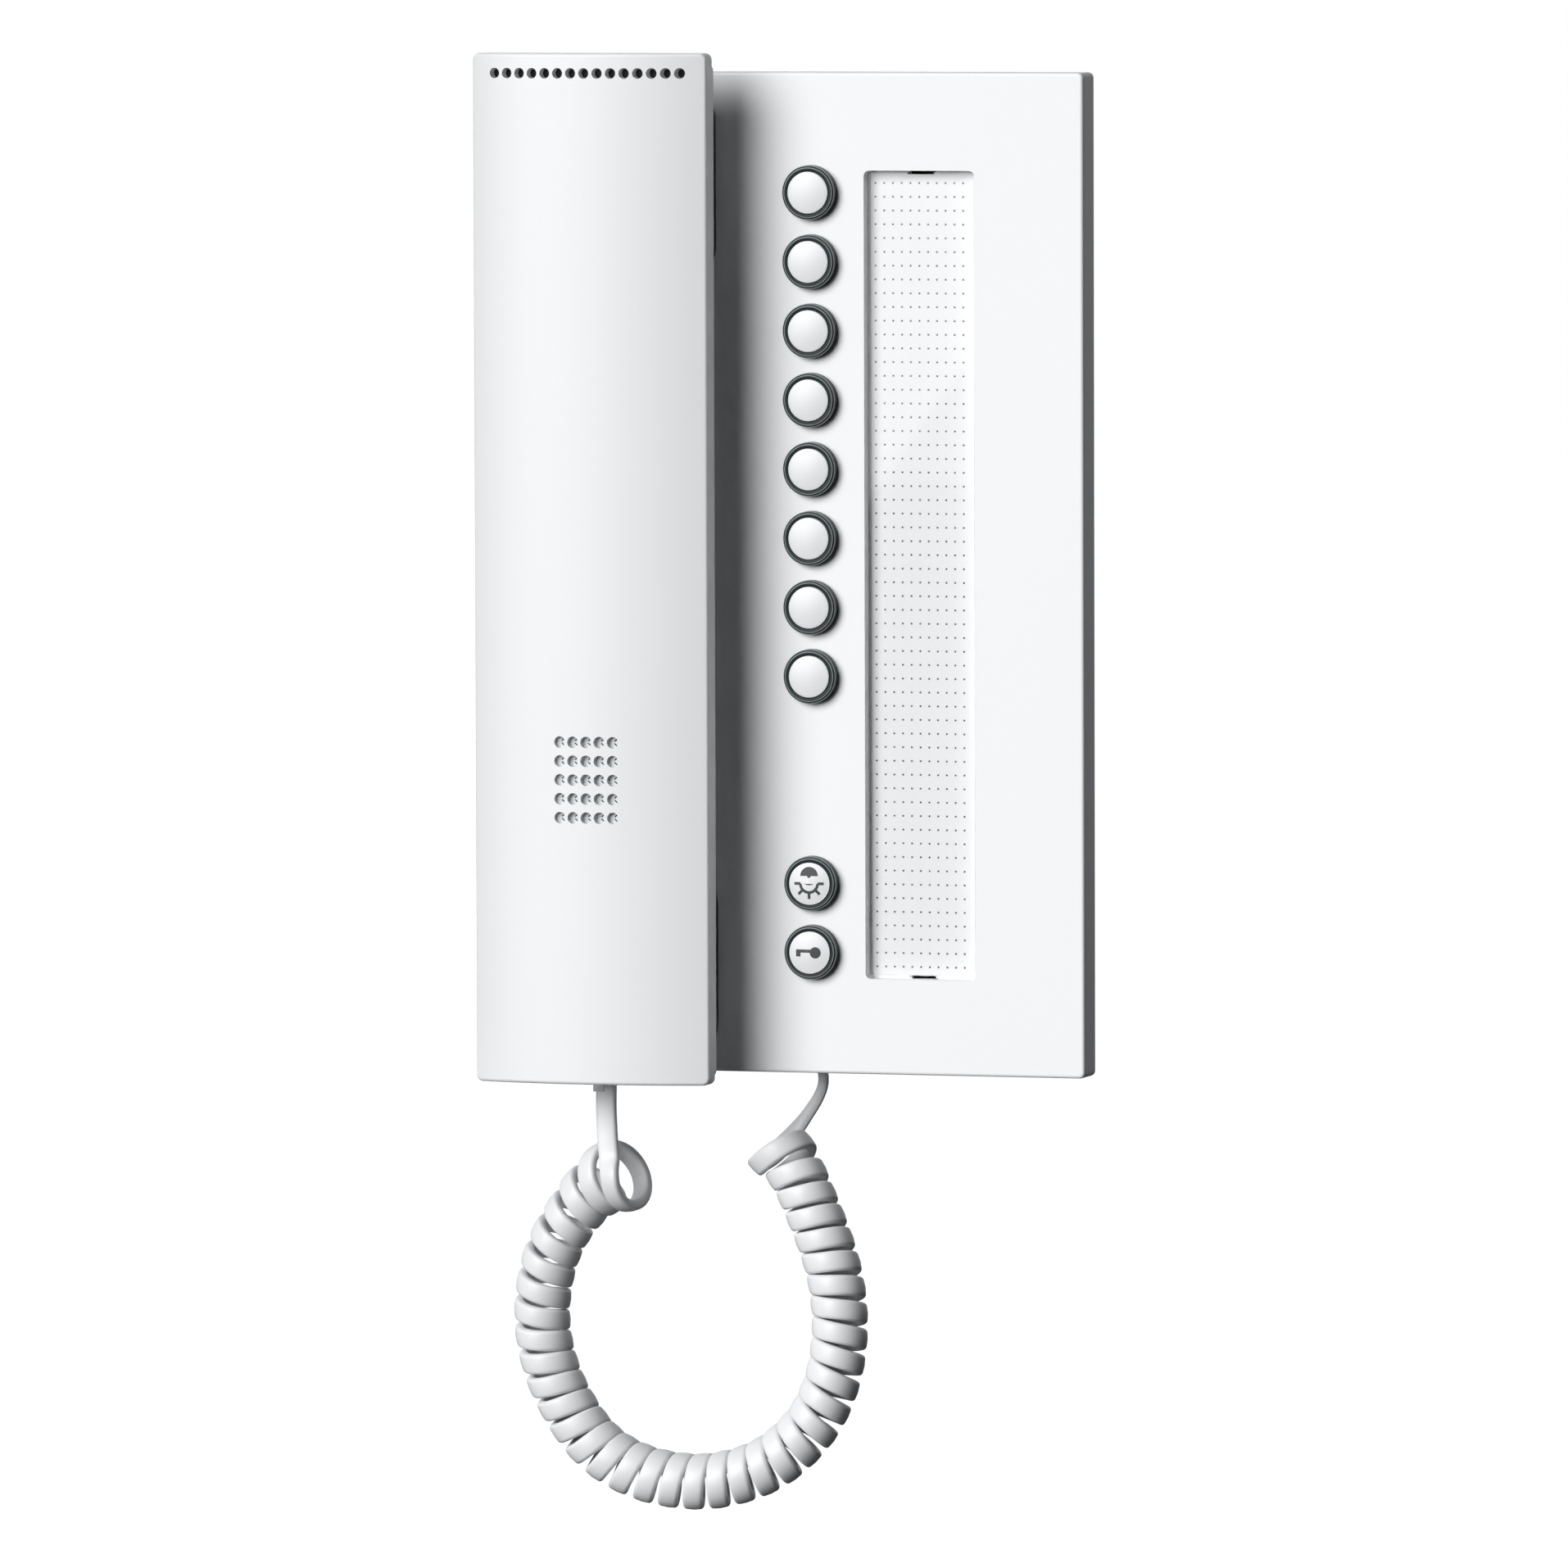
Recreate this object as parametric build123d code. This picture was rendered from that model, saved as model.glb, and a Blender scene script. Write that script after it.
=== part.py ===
from build123d import *
import math
import os

# Wall intercom: a base with call buttons and a name strip, a handset resting on its
# left half and a curly cord that hangs below both.
# X runs to the right, Y into the wall and Z up. The wall is the plane Y = 0, and the
# origin is the middle of the wall plate's back face. A size named out is a distance
# from the wall towards the viewer, so it lies at Y = -out. All lengths are in mm.

# Clearances that several pieces share
overrun = 1.0
slip_gap = 0.05
loose_gap = 0.3

# Base: front cover
base_width = 132.0
base_height = 217.5
base_out = 24.0
cover_depth = 8.5
cover_wall = 2.2
base_corner = 1.2
base_edge_round = 0.7

# Base: back housing and wall plate
housing_inset = 5.5
housing_wall = 2.0
flange_depth = 1.5
flange_inset = 0.8
plate_thickness = 2.6
plate_inset = 2.0
housing_floor = 2.2
wall_hole_radius = 2.2
wall_hole_columns = 60.0
wall_hole_rows = 120.0
wire_entry_x = -35.0
wire_entry_z = -5.0
wire_entry_width = 22.0
wire_entry_height = 30.0

# Handset
handset_width = 53.0
handset_over_top = 4.35
handset_over_bottom = 1.65
finger_gap = 13.0
back_plate = 2.2
front_side = 4.2
crown_rise = 4.1
handset_wall = 2.5
handset_corner = 1.5
handset_edge_round = 0.7
top_tilt = 14.0
bottom_tilt = 6.0
back_inset = 0.35
back_top_inset = 2.4
back_bottom_inset = 1.4
hump_width = 44.0
hump_corner = 6.0
hump_edge_round = 2.5
ear_length = 40.0
mouth_length = 38.0
hump_end_inset = 6.0

# Pockets in the base that take the handset's two humps
pocket_depth = 6.0
pocket_wall = 1.6
pocket_gap = 0.6
seat_gap = 0.3

# Buttons: eight call buttons, then a gap of two pitches, then light and door
button_x_share = 0.0356
button_pitches_in_height = 14.5
button_top_pitches = 1.7367
call_button_count = 8
light_button_step = 10
door_button_step = 11
button_travel = 0.8
cap_radius = 4.575
cap_rise = 3.0
dome_rise = 0.35
cap_flange_radius = 5.2
cap_flange_thickness = 1.1
stem_radius = 1.6
ring_radius = 6.0
ring_rise = 2.5
ring_bore_radius = 4.65
ring_neck_radius = 5.45
ring_neck_length = 2.6
ring_lip = 0.35
ring_slope = 0.5
ring_step = 0.35

# Name strip in its recess
recess_left_share = 0.1258
recess_right_share = 0.3144
recess_top_inset = 21.25
recess_bottom_inset = 20.75
recess_depth = 3.6
recess_corner = 1.2
tray_wall = 1.4
strip_thickness = 0.3
strip_rim = 0.4
strip_cover_thickness = 1.4
strip_cover_gap = 0.2
notch_width = 6.0
notch_height = 0.8

# Main board and what stands on it
board_from_handset = 20.0
board_side_gap = 1.5
board_end_gap = 11.25
board_out = 10.5
board_thickness = 1.6
switch_size = 6.0
switch_height = 3.5
standoff_radius = 3.2
standoff_inset = 5.0
standoff_left_inset = 7.2

# Cord and its plugs
cord_diameter = 3.3
plug_width = 7.7
plug_thickness = 6.6
plug_gap = 0.2
latch_width = 2.4
latch_thickness = 0.7
handset_cord_behind = 5.0
base_cord_across = 41.7
base_cord_out = 9.8
coil_radius = 4.6
coil_turns = 36.0
first_loop_extra = 1.2

# Sizes that follow from the ones above
half_width = base_width / 2
half_height = base_height / 2
cover_back_out = base_out - cover_depth
flange_back_out = cover_back_out - flange_depth
cover_inner_out = base_out - cover_wall
housing_half_width = half_width - housing_inset
housing_half_height = half_height - housing_inset
housing_floor_out = plate_thickness + housing_floor
handset_x = -half_width + handset_width / 2
handset_top = half_height + handset_over_top
handset_bottom = -half_height - handset_over_bottom
handset_back_out = base_out + finger_gap
seam_out = handset_back_out + back_plate
side_edge_out = seam_out + front_side
crown_out = side_edge_out + crown_rise
pocket_floor_out = base_out - pocket_depth
hump_face_out = pocket_floor_out + seat_gap
ear_top = handset_top - hump_end_inset - back_top_inset
ear_bottom = ear_top - ear_length
ear_z = ear_top - ear_length / 2
mouth_bottom = handset_bottom + hump_end_inset
mouth_top = mouth_bottom + mouth_length
hump_floor_out = hump_face_out + back_plate
hump_inner_half = hump_width / 2 - back_plate
handset_cord_out = handset_back_out - handset_cord_behind
base_cord_x = handset_x + base_cord_across
button_x = base_width * button_x_share
button_pitch = base_height / button_pitches_in_height
button_top_z = half_height - button_pitch * button_top_pitches
recess_left = base_width * recess_left_share
recess_right = base_width * recess_right_share
recess_top = half_height - recess_top_inset
recess_bottom = -half_height + recess_bottom_inset
board_left = handset_x + board_from_handset
board_right = housing_half_width - housing_wall - board_side_gap
board_half_height = housing_half_height - housing_wall - board_end_gap
recess_floor_out = base_out - recess_depth
recess_x = (recess_left + recess_right) / 2
board_front_out = board_out + board_thickness

button_steps = list(range(call_button_count)) + [light_button_step, door_button_step]
button_names = [f"call_button_{step + 1}" for step in range(call_button_count)]
button_names += ["light_button", "door_button"]


def button_z(step):
    return button_top_z - step * button_pitch


def place(x, out, z):
    return Vector(x, -out, z)


def slab(x_min, x_max, z_min, z_max, out_min, out_max):
    corner = (Align.MIN, Align.MIN, Align.MIN)
    block = Box(x_max - x_min, out_max - out_min, z_max - z_min, align=corner)
    return Pos(x_min, -out_max, z_min) * block


def rounded_slab(x_min, x_max, z_min, z_max, out_min, out_max, corner):
    block = slab(x_min, x_max, z_min, z_max, out_min, out_max)
    return fillet(block.edges().filter_by(Axis.Y), corner)


def disc(x, z, radius, out_min, out_max):
    drum = Cylinder(radius, out_max - out_min, align=(Align.CENTER, Align.CENTER, Align.MIN))
    return Pos(x, -out_min, z) * Rot(90, 0, 0) * drum


def ring(x, z, outer, inner, out_min, out_max):
    return disc(x, z, outer, out_min, out_max) - disc(x, z, inner, out_min - overrun, out_max + overrun)


# A shape turned about a line square to the wall, from lines of radius and out
def turned(x, z, edges):
    profile = make_face(edges)
    return Pos(x, 0, z) * Rot(90, 0, 0) * revolve(profile, Axis.Z)


def profile_point(radius, out):
    return (radius, 0, out)


def export(name, shape):
    shape.label = name
    export_step(shape, f"parts/{name}.step")


# Places of the screws that hold the cover to the housing
cover_boss_radius = 3.2
cover_boss_inset_x = 14.0
cover_boss_inset_z = 10.75
cover_boss_below_ear = 19.2
cover_boss_low_z = ear_bottom - cover_boss_below_ear
cover_screw_radius = 1.4
cover_screw_head_radius = 2.7
cover_screw_head = 1.3
cover_pilot_radius = 1.25
cover_screw_length = 13.0
cover_boss_spots = []
for side in (-1, 1):
    cover_boss_spots.append((half_width - cover_boss_inset_x, side * (half_height - cover_boss_inset_z)))
    cover_boss_spots.append((-half_width + cover_boss_inset_x, side * cover_boss_low_z))

# The cradle plunger, pressed in while the handset lies in its pocket
plunger_offset_x = 13.0
plunger_offset_z = 7.0
plunger_x = handset_x + plunger_offset_x
plunger_z = ear_z + plunger_offset_z
plunger_radius = 3.94
plunger_bore_radius = 4.0
plunger_travel = 3.0
plunger_collar_radius = 6.0
plunger_collar = 1.5
plunger_pin_radius = 2.05
plunger_top_gap = 0.2
spring_wire = 0.7
spring_radius = 4.2
spring_pitch = 1.2
post_radius = 3.2
post_bore_radius = 2.15
post_share = 0.61
collar_front_out = pocket_floor_out - pocket_wall - plunger_travel - plunger_top_gap
collar_back_out = collar_front_out - plunger_collar
post_height = (collar_back_out - housing_floor_out) * post_share
spring_low = housing_floor_out + spring_wire / 2 + slip_gap
spring_high = collar_back_out - spring_wire / 2 - slip_gap
spring_turns = round((spring_high - spring_low) / spring_pitch)


# Front cover: a shallow lid with two pockets, the strip tray and the button holes
def pocket_box(z_min, z_max, grow):
    reach = hump_width / 2 + grow
    return (handset_x - reach, handset_x + reach, z_min - grow, z_max + grow)


def front_cover():
    outline = (-half_width, half_width, -half_height, half_height)
    shell = rounded_slab(*outline, cover_back_out, base_out, base_corner)
    front_face = shell.faces().sort_by(Axis.Y)[0]
    shell = fillet(front_face.edges(), base_edge_round)
    inner_x = half_width - cover_wall
    inner_z = half_height - cover_wall
    shell -= slab(-inner_x, inner_x, -inner_z, inner_z, cover_back_out - overrun, cover_inner_out)
    pocket_back = pocket_floor_out - pocket_wall
    wall_corner = hump_corner + pocket_gap
    for z_min, z_max in ((ear_bottom, ear_top), (mouth_bottom, mouth_top)):
        outer = pocket_box(z_min, z_max, pocket_gap + pocket_wall)
        shell += rounded_slab(*outer, pocket_back, cover_inner_out + overrun / 2, wall_corner)
    for z_min, z_max in ((ear_bottom, ear_top), (mouth_bottom, mouth_top)):
        inner = pocket_box(z_min, z_max, pocket_gap)
        shell -= rounded_slab(*inner, pocket_floor_out, base_out + overrun, wall_corner)
    tray = (recess_left - tray_wall, recess_right + tray_wall)
    tray += (recess_bottom - tray_wall, recess_top + tray_wall)
    shell += slab(*tray, recess_floor_out - tray_wall, cover_inner_out + overrun / 2)
    recess = (recess_left, recess_right, recess_bottom, recess_top)
    shell -= rounded_slab(*recess, recess_floor_out, base_out + overrun, recess_corner)
    shell -= pry_notches(recess_floor_out - tray_wall - overrun, recess_floor_out + overrun)
    for step in button_steps:
        hole_radius = ring_neck_radius + slip_gap
        shell -= disc(button_x, button_z(step), hole_radius, cover_back_out, base_out + overrun)
    pilot_end = plate_thickness + cover_screw_length
    for x, z in cover_boss_spots:
        shell += disc(x, z, cover_boss_radius, housing_floor_out, cover_inner_out + overrun / 2)
        shell -= disc(x, z, cover_pilot_radius, housing_floor_out - overrun, pilot_end)
    bore_end = pocket_floor_out + overrun
    return shell - disc(plunger_x, plunger_z, plunger_bore_radius, pocket_back - overrun, bore_end)


# Hooks on the wall plate that the housing hangs on
hook_reach_x = 40.0
hook_reach_z = 80.0
hook_spots = [(x_side * hook_reach_x, z_side * hook_reach_z) for x_side in (-1, 1) for z_side in (-1, 1)]
hook_width = 8.0
hook_thickness = 1.6
hook_rise = 3.0
hook_gap = 0.4

# Base socket in the housing's lower wall
socket_wall = 0.95
socket_depth = 11.0
plug_inserted = 8.0
plug_outside = 4.5
plug_back_gap = 0.5


def back_housing():
    outer = (-housing_half_width, housing_half_width, -housing_half_height, housing_half_height)
    shell = rounded_slab(*outer, plate_thickness, cover_back_out, base_corner)
    flange_x = half_width - flange_inset
    flange_z = half_height - flange_inset
    flange = (-flange_x, flange_x, -flange_z, flange_z)
    shell += rounded_slab(*flange, flange_back_out, cover_back_out, base_corner)
    inner_x = housing_half_width - housing_wall
    inner_z = housing_half_height - housing_wall
    shell -= slab(-inner_x, inner_x, -inner_z, inner_z, housing_floor_out, cover_back_out + overrun)
    pilot_start = plate_thickness + housing_floor / 2
    for x, z in standoff_spots():
        shell += disc(x, z, standoff_radius, plate_thickness, board_out)
        shell -= disc(x, z, board_screw_radius + slip_gap, pilot_start, board_out + overrun)
    below = plate_thickness - overrun
    head_seat = plate_thickness + cover_screw_head
    for x, z in cover_boss_spots:
        shell -= disc(x, z, cover_screw_radius + slip_gap, below, housing_floor_out + overrun)
        shell -= disc(x, z, cover_screw_head_radius + slip_gap, below, head_seat)
    shell += disc(plunger_x, plunger_z, post_radius, plate_thickness, housing_floor_out + post_height)
    shell -= disc(plunger_x, plunger_z, post_bore_radius, housing_floor_out, cover_back_out)
    half_entry = wire_entry_width / 2
    entry = (wire_entry_x - half_entry, wire_entry_x + half_entry)
    entry += (wire_entry_z - wire_entry_height / 2, wire_entry_z + wire_entry_height / 2)
    shell -= slab(*entry, below, housing_floor_out + overrun)
    for x, z in hook_spots:
        reach = hook_width / 2 + hook_gap
        slot = (x - reach, x + reach, z - hook_gap, z + hook_thickness + hook_gap)
        shell -= slab(*slot, below, housing_floor_out + overrun)
    mouth_x = plug_thickness / 2 + plug_gap + latch_thickness * 2
    mouth_out = plug_width / 2 + plug_gap
    mouth = (base_cord_x - mouth_x, base_cord_x + mouth_x)
    mouth += (-housing_half_height - overrun, -housing_half_height + housing_wall + overrun)
    shell -= slab(*mouth, base_cord_out - mouth_out, base_cord_out + mouth_out)
    return shell


def wall_plate():
    reach_x = housing_half_width - plate_inset
    reach_z = housing_half_height - plate_inset
    plate = rounded_slab(-reach_x, reach_x, -reach_z, reach_z, 0, plate_thickness, base_corner)
    for x_side in (-1, 1):
        for z_side in (-1, 1):
            x = x_side * wall_hole_columns / 2
            z = z_side * wall_hole_rows / 2
            plate -= disc(x, z, wall_hole_radius, -overrun, plate_thickness + overrun)
    half_entry = wire_entry_width / 2
    entry = (wire_entry_x - half_entry, wire_entry_x + half_entry)
    entry += (wire_entry_z - wire_entry_height / 2, wire_entry_z + wire_entry_height / 2)
    plate -= slab(*entry, -overrun, plate_thickness + overrun)
    for x, z in hook_spots:
        hook = (x - hook_width / 2, x + hook_width / 2, z, z + hook_thickness)
        plate += slab(*hook, plate_thickness / 2, plate_thickness + hook_rise)
    return plate


# Main board with its screws, switches, terminals and a few large components
board_screw_radius = 1.2
board_screw_head_radius = 2.4
board_screw_head = 1.6
board_hole_radius = 1.4
terminal_length = 60.0
terminal_width = 9.0
terminal_gap = 2.7
terminal_height = cover_inner_out - terminal_gap - board_front_out
terminal_ways = 10
terminal_hole_radius = 1.6
relay_width = 10.0
relay_length = 15.0
relay_gap = 0.3
relay_height = recess_floor_out - tray_wall - relay_gap - board_front_out
relay_inset = 30.0
relay_z = board_half_height - relay_inset
capacitor_radius = 3.0
capacitor_height = terminal_height
capacitor_pitch = 8.0
capacitor_inset = 32.0
capacitor_z = -board_half_height + capacitor_inset
capacitor_count = 4
component_inset = 6.5
component_x = board_right - component_inset
chip_width = 6.0
chip_length = 10.0
chip_height = 1.8
chip_from_component = 25.5
chip_x = component_x - chip_from_component
chip_pitch = 40.0
chip_spots = [(chip_x, index * chip_pitch) for index in (-1, 0, 1)]


def standoff_spots():
    left = board_left + standoff_left_inset
    right = board_right - standoff_inset
    reach = board_half_height - standoff_inset
    return [(x, z) for x in (left, right) for z in (-reach, reach)]


def main_board():
    outline = (board_left, board_right, -board_half_height, board_half_height)
    board = slab(*outline, board_out, board_front_out)
    for x, z in standoff_spots():
        board -= disc(x, z, board_hole_radius, board_out - overrun, board_front_out + overrun)
    for x, z in chip_spots:
        chip = (x - chip_width / 2, x + chip_width / 2, z - chip_length / 2, z + chip_length / 2)
        board += slab(*chip, board_out + board_thickness / 2, board_front_out + chip_height)
    return board


def board_screws():
    screws = []
    head_top = board_front_out + board_screw_head
    for x, z in standoff_spots():
        head = disc(x, z, board_screw_head_radius, board_front_out, head_top)
        shank = disc(x, z, board_screw_radius, housing_floor_out, head_top - board_screw_head / 2)
        screws.append(head + shank)
    return Compound(children=screws)


def cover_screws():
    screws = []
    head_top = plate_thickness + cover_screw_head
    tip = plate_thickness + cover_screw_length - overrun
    for x, z in cover_boss_spots:
        head = disc(x, z, cover_screw_head_radius, plate_thickness, head_top)
        shank = disc(x, z, cover_pilot_radius - slip_gap, head_top - cover_screw_head / 2, tip)
        screws.append(head + shank)
    return Compound(children=screws)


def button_switches():
    bodies = []
    half = switch_size / 2
    top = board_front_out + switch_height
    for step in button_steps:
        z = button_z(step)
        body = slab(button_x - half, button_x + half, z - half, z + half, board_front_out, top)
        body -= disc(button_x, z, stem_radius + loose_gap / 2, board_front_out + overrun, base_out)
        bodies.append(body)
    return Compound(children=bodies)


def terminal_block():
    half = terminal_length / 2
    right = board_left + terminal_width
    top = board_front_out + terminal_height
    block = slab(board_left, right, -half, half, board_front_out, top)
    pitch = terminal_length / terminal_ways
    for way in range(terminal_ways):
        z = -half + (way + 0.5) * pitch
        x = board_left + terminal_width / 2
        block -= disc(x, z, terminal_hole_radius, top - terminal_height / 2, base_out)
    return block


def relay():
    half_x = relay_width / 2
    half_z = relay_length / 2
    box = (component_x - half_x, component_x + half_x, relay_z - half_z, relay_z + half_z)
    return slab(*box, board_front_out, board_front_out + relay_height)


def capacitors():
    cans = []
    top = board_front_out + capacitor_height
    for index in range(capacitor_count):
        z = capacitor_z + index * capacitor_pitch
        cans.append(disc(component_x, z, capacitor_radius, board_front_out, top))
    return Compound(children=cans)


# Button bezel: a stepped ring whose neck passes through the cover
def button_ring(z):
    neck_back = base_out - ring_neck_length
    top = base_out + ring_rise
    step_radius = ring_radius - ring_step
    step_out = top - ring_slope
    corners = [
        profile_point(ring_bore_radius, neck_back),
        profile_point(ring_bore_radius, top),
        profile_point(ring_bore_radius + ring_lip, top),
        profile_point(step_radius, step_out),
        profile_point(step_radius, step_out - ring_step),
        profile_point(ring_radius, step_out - ring_step),
        profile_point(ring_radius, base_out),
        profile_point(ring_neck_radius, base_out),
        profile_point(ring_neck_radius, neck_back),
    ]
    return turned(button_x, z, [Polyline(*corners, close=True)])


def button_cap(z):
    neck_back = base_out - ring_neck_length
    flange_front = neck_back - slip_gap
    flange_back = flange_front - cap_flange_thickness
    stem_back = board_front_out + overrun + button_travel + loose_gap
    edge_out = base_out + cap_rise - dome_rise
    top_out = base_out + cap_rise
    corners = [
        profile_point(0, top_out),
        profile_point(0, stem_back),
        profile_point(stem_radius, stem_back),
        profile_point(stem_radius, flange_back),
        profile_point(cap_flange_radius, flange_back),
        profile_point(cap_flange_radius, flange_front),
        profile_point(cap_radius, flange_front),
        profile_point(cap_radius, edge_out),
    ]
    dome_radius = (cap_radius * cap_radius + dome_rise * dome_rise) / (2 * dome_rise)
    half_radius = cap_radius / 2
    mid_out = top_out - dome_radius + math.sqrt(dome_radius * dome_radius - half_radius * half_radius)
    middle = profile_point(half_radius, mid_out)
    dome = ThreePointArc(profile_point(cap_radius, edge_out), middle, profile_point(0, top_out))
    return turned(button_x, z, [Polyline(*corners), dome])


# Symbols let into the two lower caps
symbol_depth = 0.25
lamp_shade_radius = 2.0
lamp_shade_z = 1.7
lamp_bulb_radius = 0.42
lamp_arc_radius = 1.95
lamp_arc_z = 0.05
lamp_stroke = 0.62
lamp_ray_reach = 3.35
lamp_ray_angles = [0.0, -44.0, -90.0, -136.0, -180.0]
key_bow_radius = 1.24
key_bow_x = 1.38
key_shank_left = -3.0
key_shank_height = 0.7
key_bit_width = 1.05
key_bit_drop = 0.85


def lamp_ray(z, angle, out_min, out_max):
    end = (Align.MIN, Align.MIN, Align.CENTER)
    bar = Box(lamp_ray_reach - lamp_arc_radius, out_max - out_min, lamp_stroke, align=end)
    return Pos(button_x, -out_max, z) * Rot(0, -angle, 0) * Pos(lamp_arc_radius, 0, 0) * bar


def lamp_symbol(z, out_min, out_max):
    shade = disc(button_x, z + lamp_shade_z, lamp_shade_radius, out_min, out_max)
    below = (button_x - lamp_shade_radius - overrun, button_x + lamp_shade_radius + overrun)
    below += (z, z + lamp_shade_z)
    shade -= slab(*below, out_min - overrun, out_max + overrun)
    shade += disc(button_x, z + lamp_shade_z, lamp_bulb_radius, out_min, out_max)
    middle = z + lamp_arc_z
    outer = lamp_arc_radius + lamp_stroke / 2
    arc = ring(button_x, middle, outer, lamp_arc_radius - lamp_stroke / 2, out_min, out_max)
    above = (button_x - outer - overrun, button_x + outer + overrun, middle, middle + outer + overrun)
    arc -= slab(*above, out_min - overrun, out_max + overrun)
    for angle in lamp_ray_angles:
        arc += lamp_ray(middle, angle, out_min, out_max)
    return shade + arc


def key_symbol(z, out_min, out_max):
    bow = disc(button_x + key_bow_x, z, key_bow_radius, out_min, out_max)
    left = button_x + key_shank_left
    top = z + key_shank_height
    shank = slab(left, button_x + key_bow_x, z, top, out_min, out_max)
    bit = slab(left, left + key_bit_width, z - key_bit_drop, top, out_min, out_max)
    return bow + shank + bit


# Name strip and its clear cover
def pry_notches(out_min, out_max):
    across = (recess_x - notch_width / 2, recess_x + notch_width / 2)
    lower = slab(*across, recess_bottom, recess_bottom + notch_height, out_min, out_max)
    return lower + slab(*across, recess_top - notch_height, recess_top, out_min, out_max)


def strip_cover():
    side = (recess_left + loose_gap, recess_right - loose_gap)
    side += (recess_bottom + loose_gap, recess_top - loose_gap)
    plate_back = recess_floor_out + strip_thickness + strip_cover_gap
    cover = rounded_slab(*side, recess_floor_out, plate_back + strip_cover_thickness, recess_corner)
    inner = (side[0] + strip_rim, side[1] - strip_rim, side[2] + strip_rim, side[3] - strip_rim)
    cover -= slab(*inner, recess_floor_out - overrun, plate_back)
    return cover - pry_notches(recess_floor_out - overrun, base_out)


def name_strip():
    inset = loose_gap + strip_rim + strip_cover_gap
    sheet = (recess_left + inset, recess_right - inset, recess_bottom + inset, recess_top - inset)
    return slab(*sheet, recess_floor_out, recess_floor_out + strip_thickness)


# Cradle plunger, its spring and the switch that its collar works
def hook_plunger():
    top = pocket_floor_out + seat_gap - plunger_top_gap
    shaft = disc(plunger_x, plunger_z, plunger_radius, collar_back_out, top)
    collar = disc(plunger_x, plunger_z, plunger_collar_radius, collar_back_out, collar_front_out)
    pin_end = housing_floor_out + plunger_top_gap
    pin = disc(plunger_x, plunger_z, plunger_pin_radius, pin_end, collar_front_out)
    return shaft + collar + pin


micro_switch_width = 12.8
micro_switch_height = 5.8
lever_thickness = 0.3
lever_gap = 0.05
lever_width = 4.0


def hook_switch():
    right = plunger_x - plunger_collar_radius - overrun
    left = right - micro_switch_width
    half = micro_switch_height / 2
    lever_front = collar_back_out - lever_gap
    lever_back = lever_front - lever_thickness
    body_front = lever_back - lever_gap * 2
    body = slab(left, right, plunger_z - half, plunger_z + half, housing_floor_out, body_front)
    lever_sides = (plunger_z - lever_width / 2, plunger_z + lever_width / 2)
    foot = slab(left, left + overrun, *lever_sides, housing_floor_out, lever_front)
    reach = plunger_x - spring_radius - spring_wire
    lever = slab(left, reach, *lever_sides, lever_back, lever_front)
    return body + foot + lever


# A tube along a list of edges, its section square to the first edge
def tube(edges, radius):
    path = Wire(edges)
    start = Plane(origin=path @ 0, z_dir=path % 0)
    return sweep(start * Circle(radius), path=path)


# Two arcs that leave one point along its direction and reach another along its own
def biarc(start, start_dir, end, end_dir):
    chord = end - start
    both = start_dir + end_dir
    spread = 2 * (1 - start_dir.dot(end_dir))
    along = chord.dot(both)
    reach = (math.sqrt(along * along + spread * chord.dot(chord)) - along) / spread
    first = start + start_dir * reach
    second = end - end_dir * reach
    middle = (first + second) / 2
    return [(start, start_dir, middle), (middle, (second - first).normalized(), end)]


def arc_radius(arc):
    start, direction, end = arc
    chord = end - start
    sine = direction.cross(chord.normalized()).length
    return chord.length / (2 * sine)


def arc_edges(arcs):
    return [Edge.make_tangent_arc(*arc) for arc in arcs]


# The cradle spring is a true coil, with its turns as arcs of a half turn
def hook_spring():
    pitch = (spring_high - spring_low) / spring_turns
    slope = pitch / (2 * math.pi * spring_radius)

    def spot(half_turn):
        angle = math.pi * half_turn
        x = plunger_x + spring_radius * math.cos(angle)
        z = plunger_z + spring_radius * math.sin(angle)
        heading = Vector(-math.sin(angle), -slope, math.cos(angle)).normalized()
        return place(x, spring_low + pitch * half_turn / 2, z), heading

    arcs = []
    for half_turn in range(2 * spring_turns):
        arcs += biarc(*spot(half_turn), *spot(half_turn + 1))
    return tube(arc_edges(arcs), spring_wire / 2)


# Handset front shell: a crowned slab with tilted ends, hollow from behind
ear_row_count = 15
ear_row_pitch = 3.0
ear_row_radius = 1.15
ear_row_inset = 4.3
grille_columns = 5
grille_rows = 5
grille_pitch_x = 3.0
grille_pitch_z = 4.1
grille_radius = 1.25
grille_over_mouth = 22.2
grille_z = mouth_top + grille_over_mouth
shell_screw_below_ear = 12.2
shell_screw_over_mouth = 3.9
shell_screw_high = ear_bottom - shell_screw_below_ear
shell_screw_low = mouth_top + shell_screw_over_mouth
shell_screw_spots = [shell_screw_high, shell_screw_low]
shell_boss_radius = 3.5
shell_pad_radius = 4.5
shell_pad_rise = 2.0
shell_screw_radius = 1.2
shell_screw_head_radius = 2.8
shell_screw_head = 1.8
shell_screw_length = 7.0


def crown_section(inset, seam):
    reach = handset_width / 2 - inset
    side = side_edge_out
    top = crown_out - inset
    low = side - inset
    corners = [place(handset_x - reach, low, 0), place(handset_x - reach, seam, 0)]
    corners += [place(handset_x + reach, seam, 0), place(handset_x + reach, low, 0)]
    crown = ThreePointArc(corners[3], place(handset_x, top, 0), corners[0])
    return make_face([Polyline(*corners), crown])


def crowned_bar(inset, seam, z_min, z_max):
    return Pos(0, 0, z_min) * extrude(crown_section(inset, seam), z_max - z_min, dir=(0, 0, 1))


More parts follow.
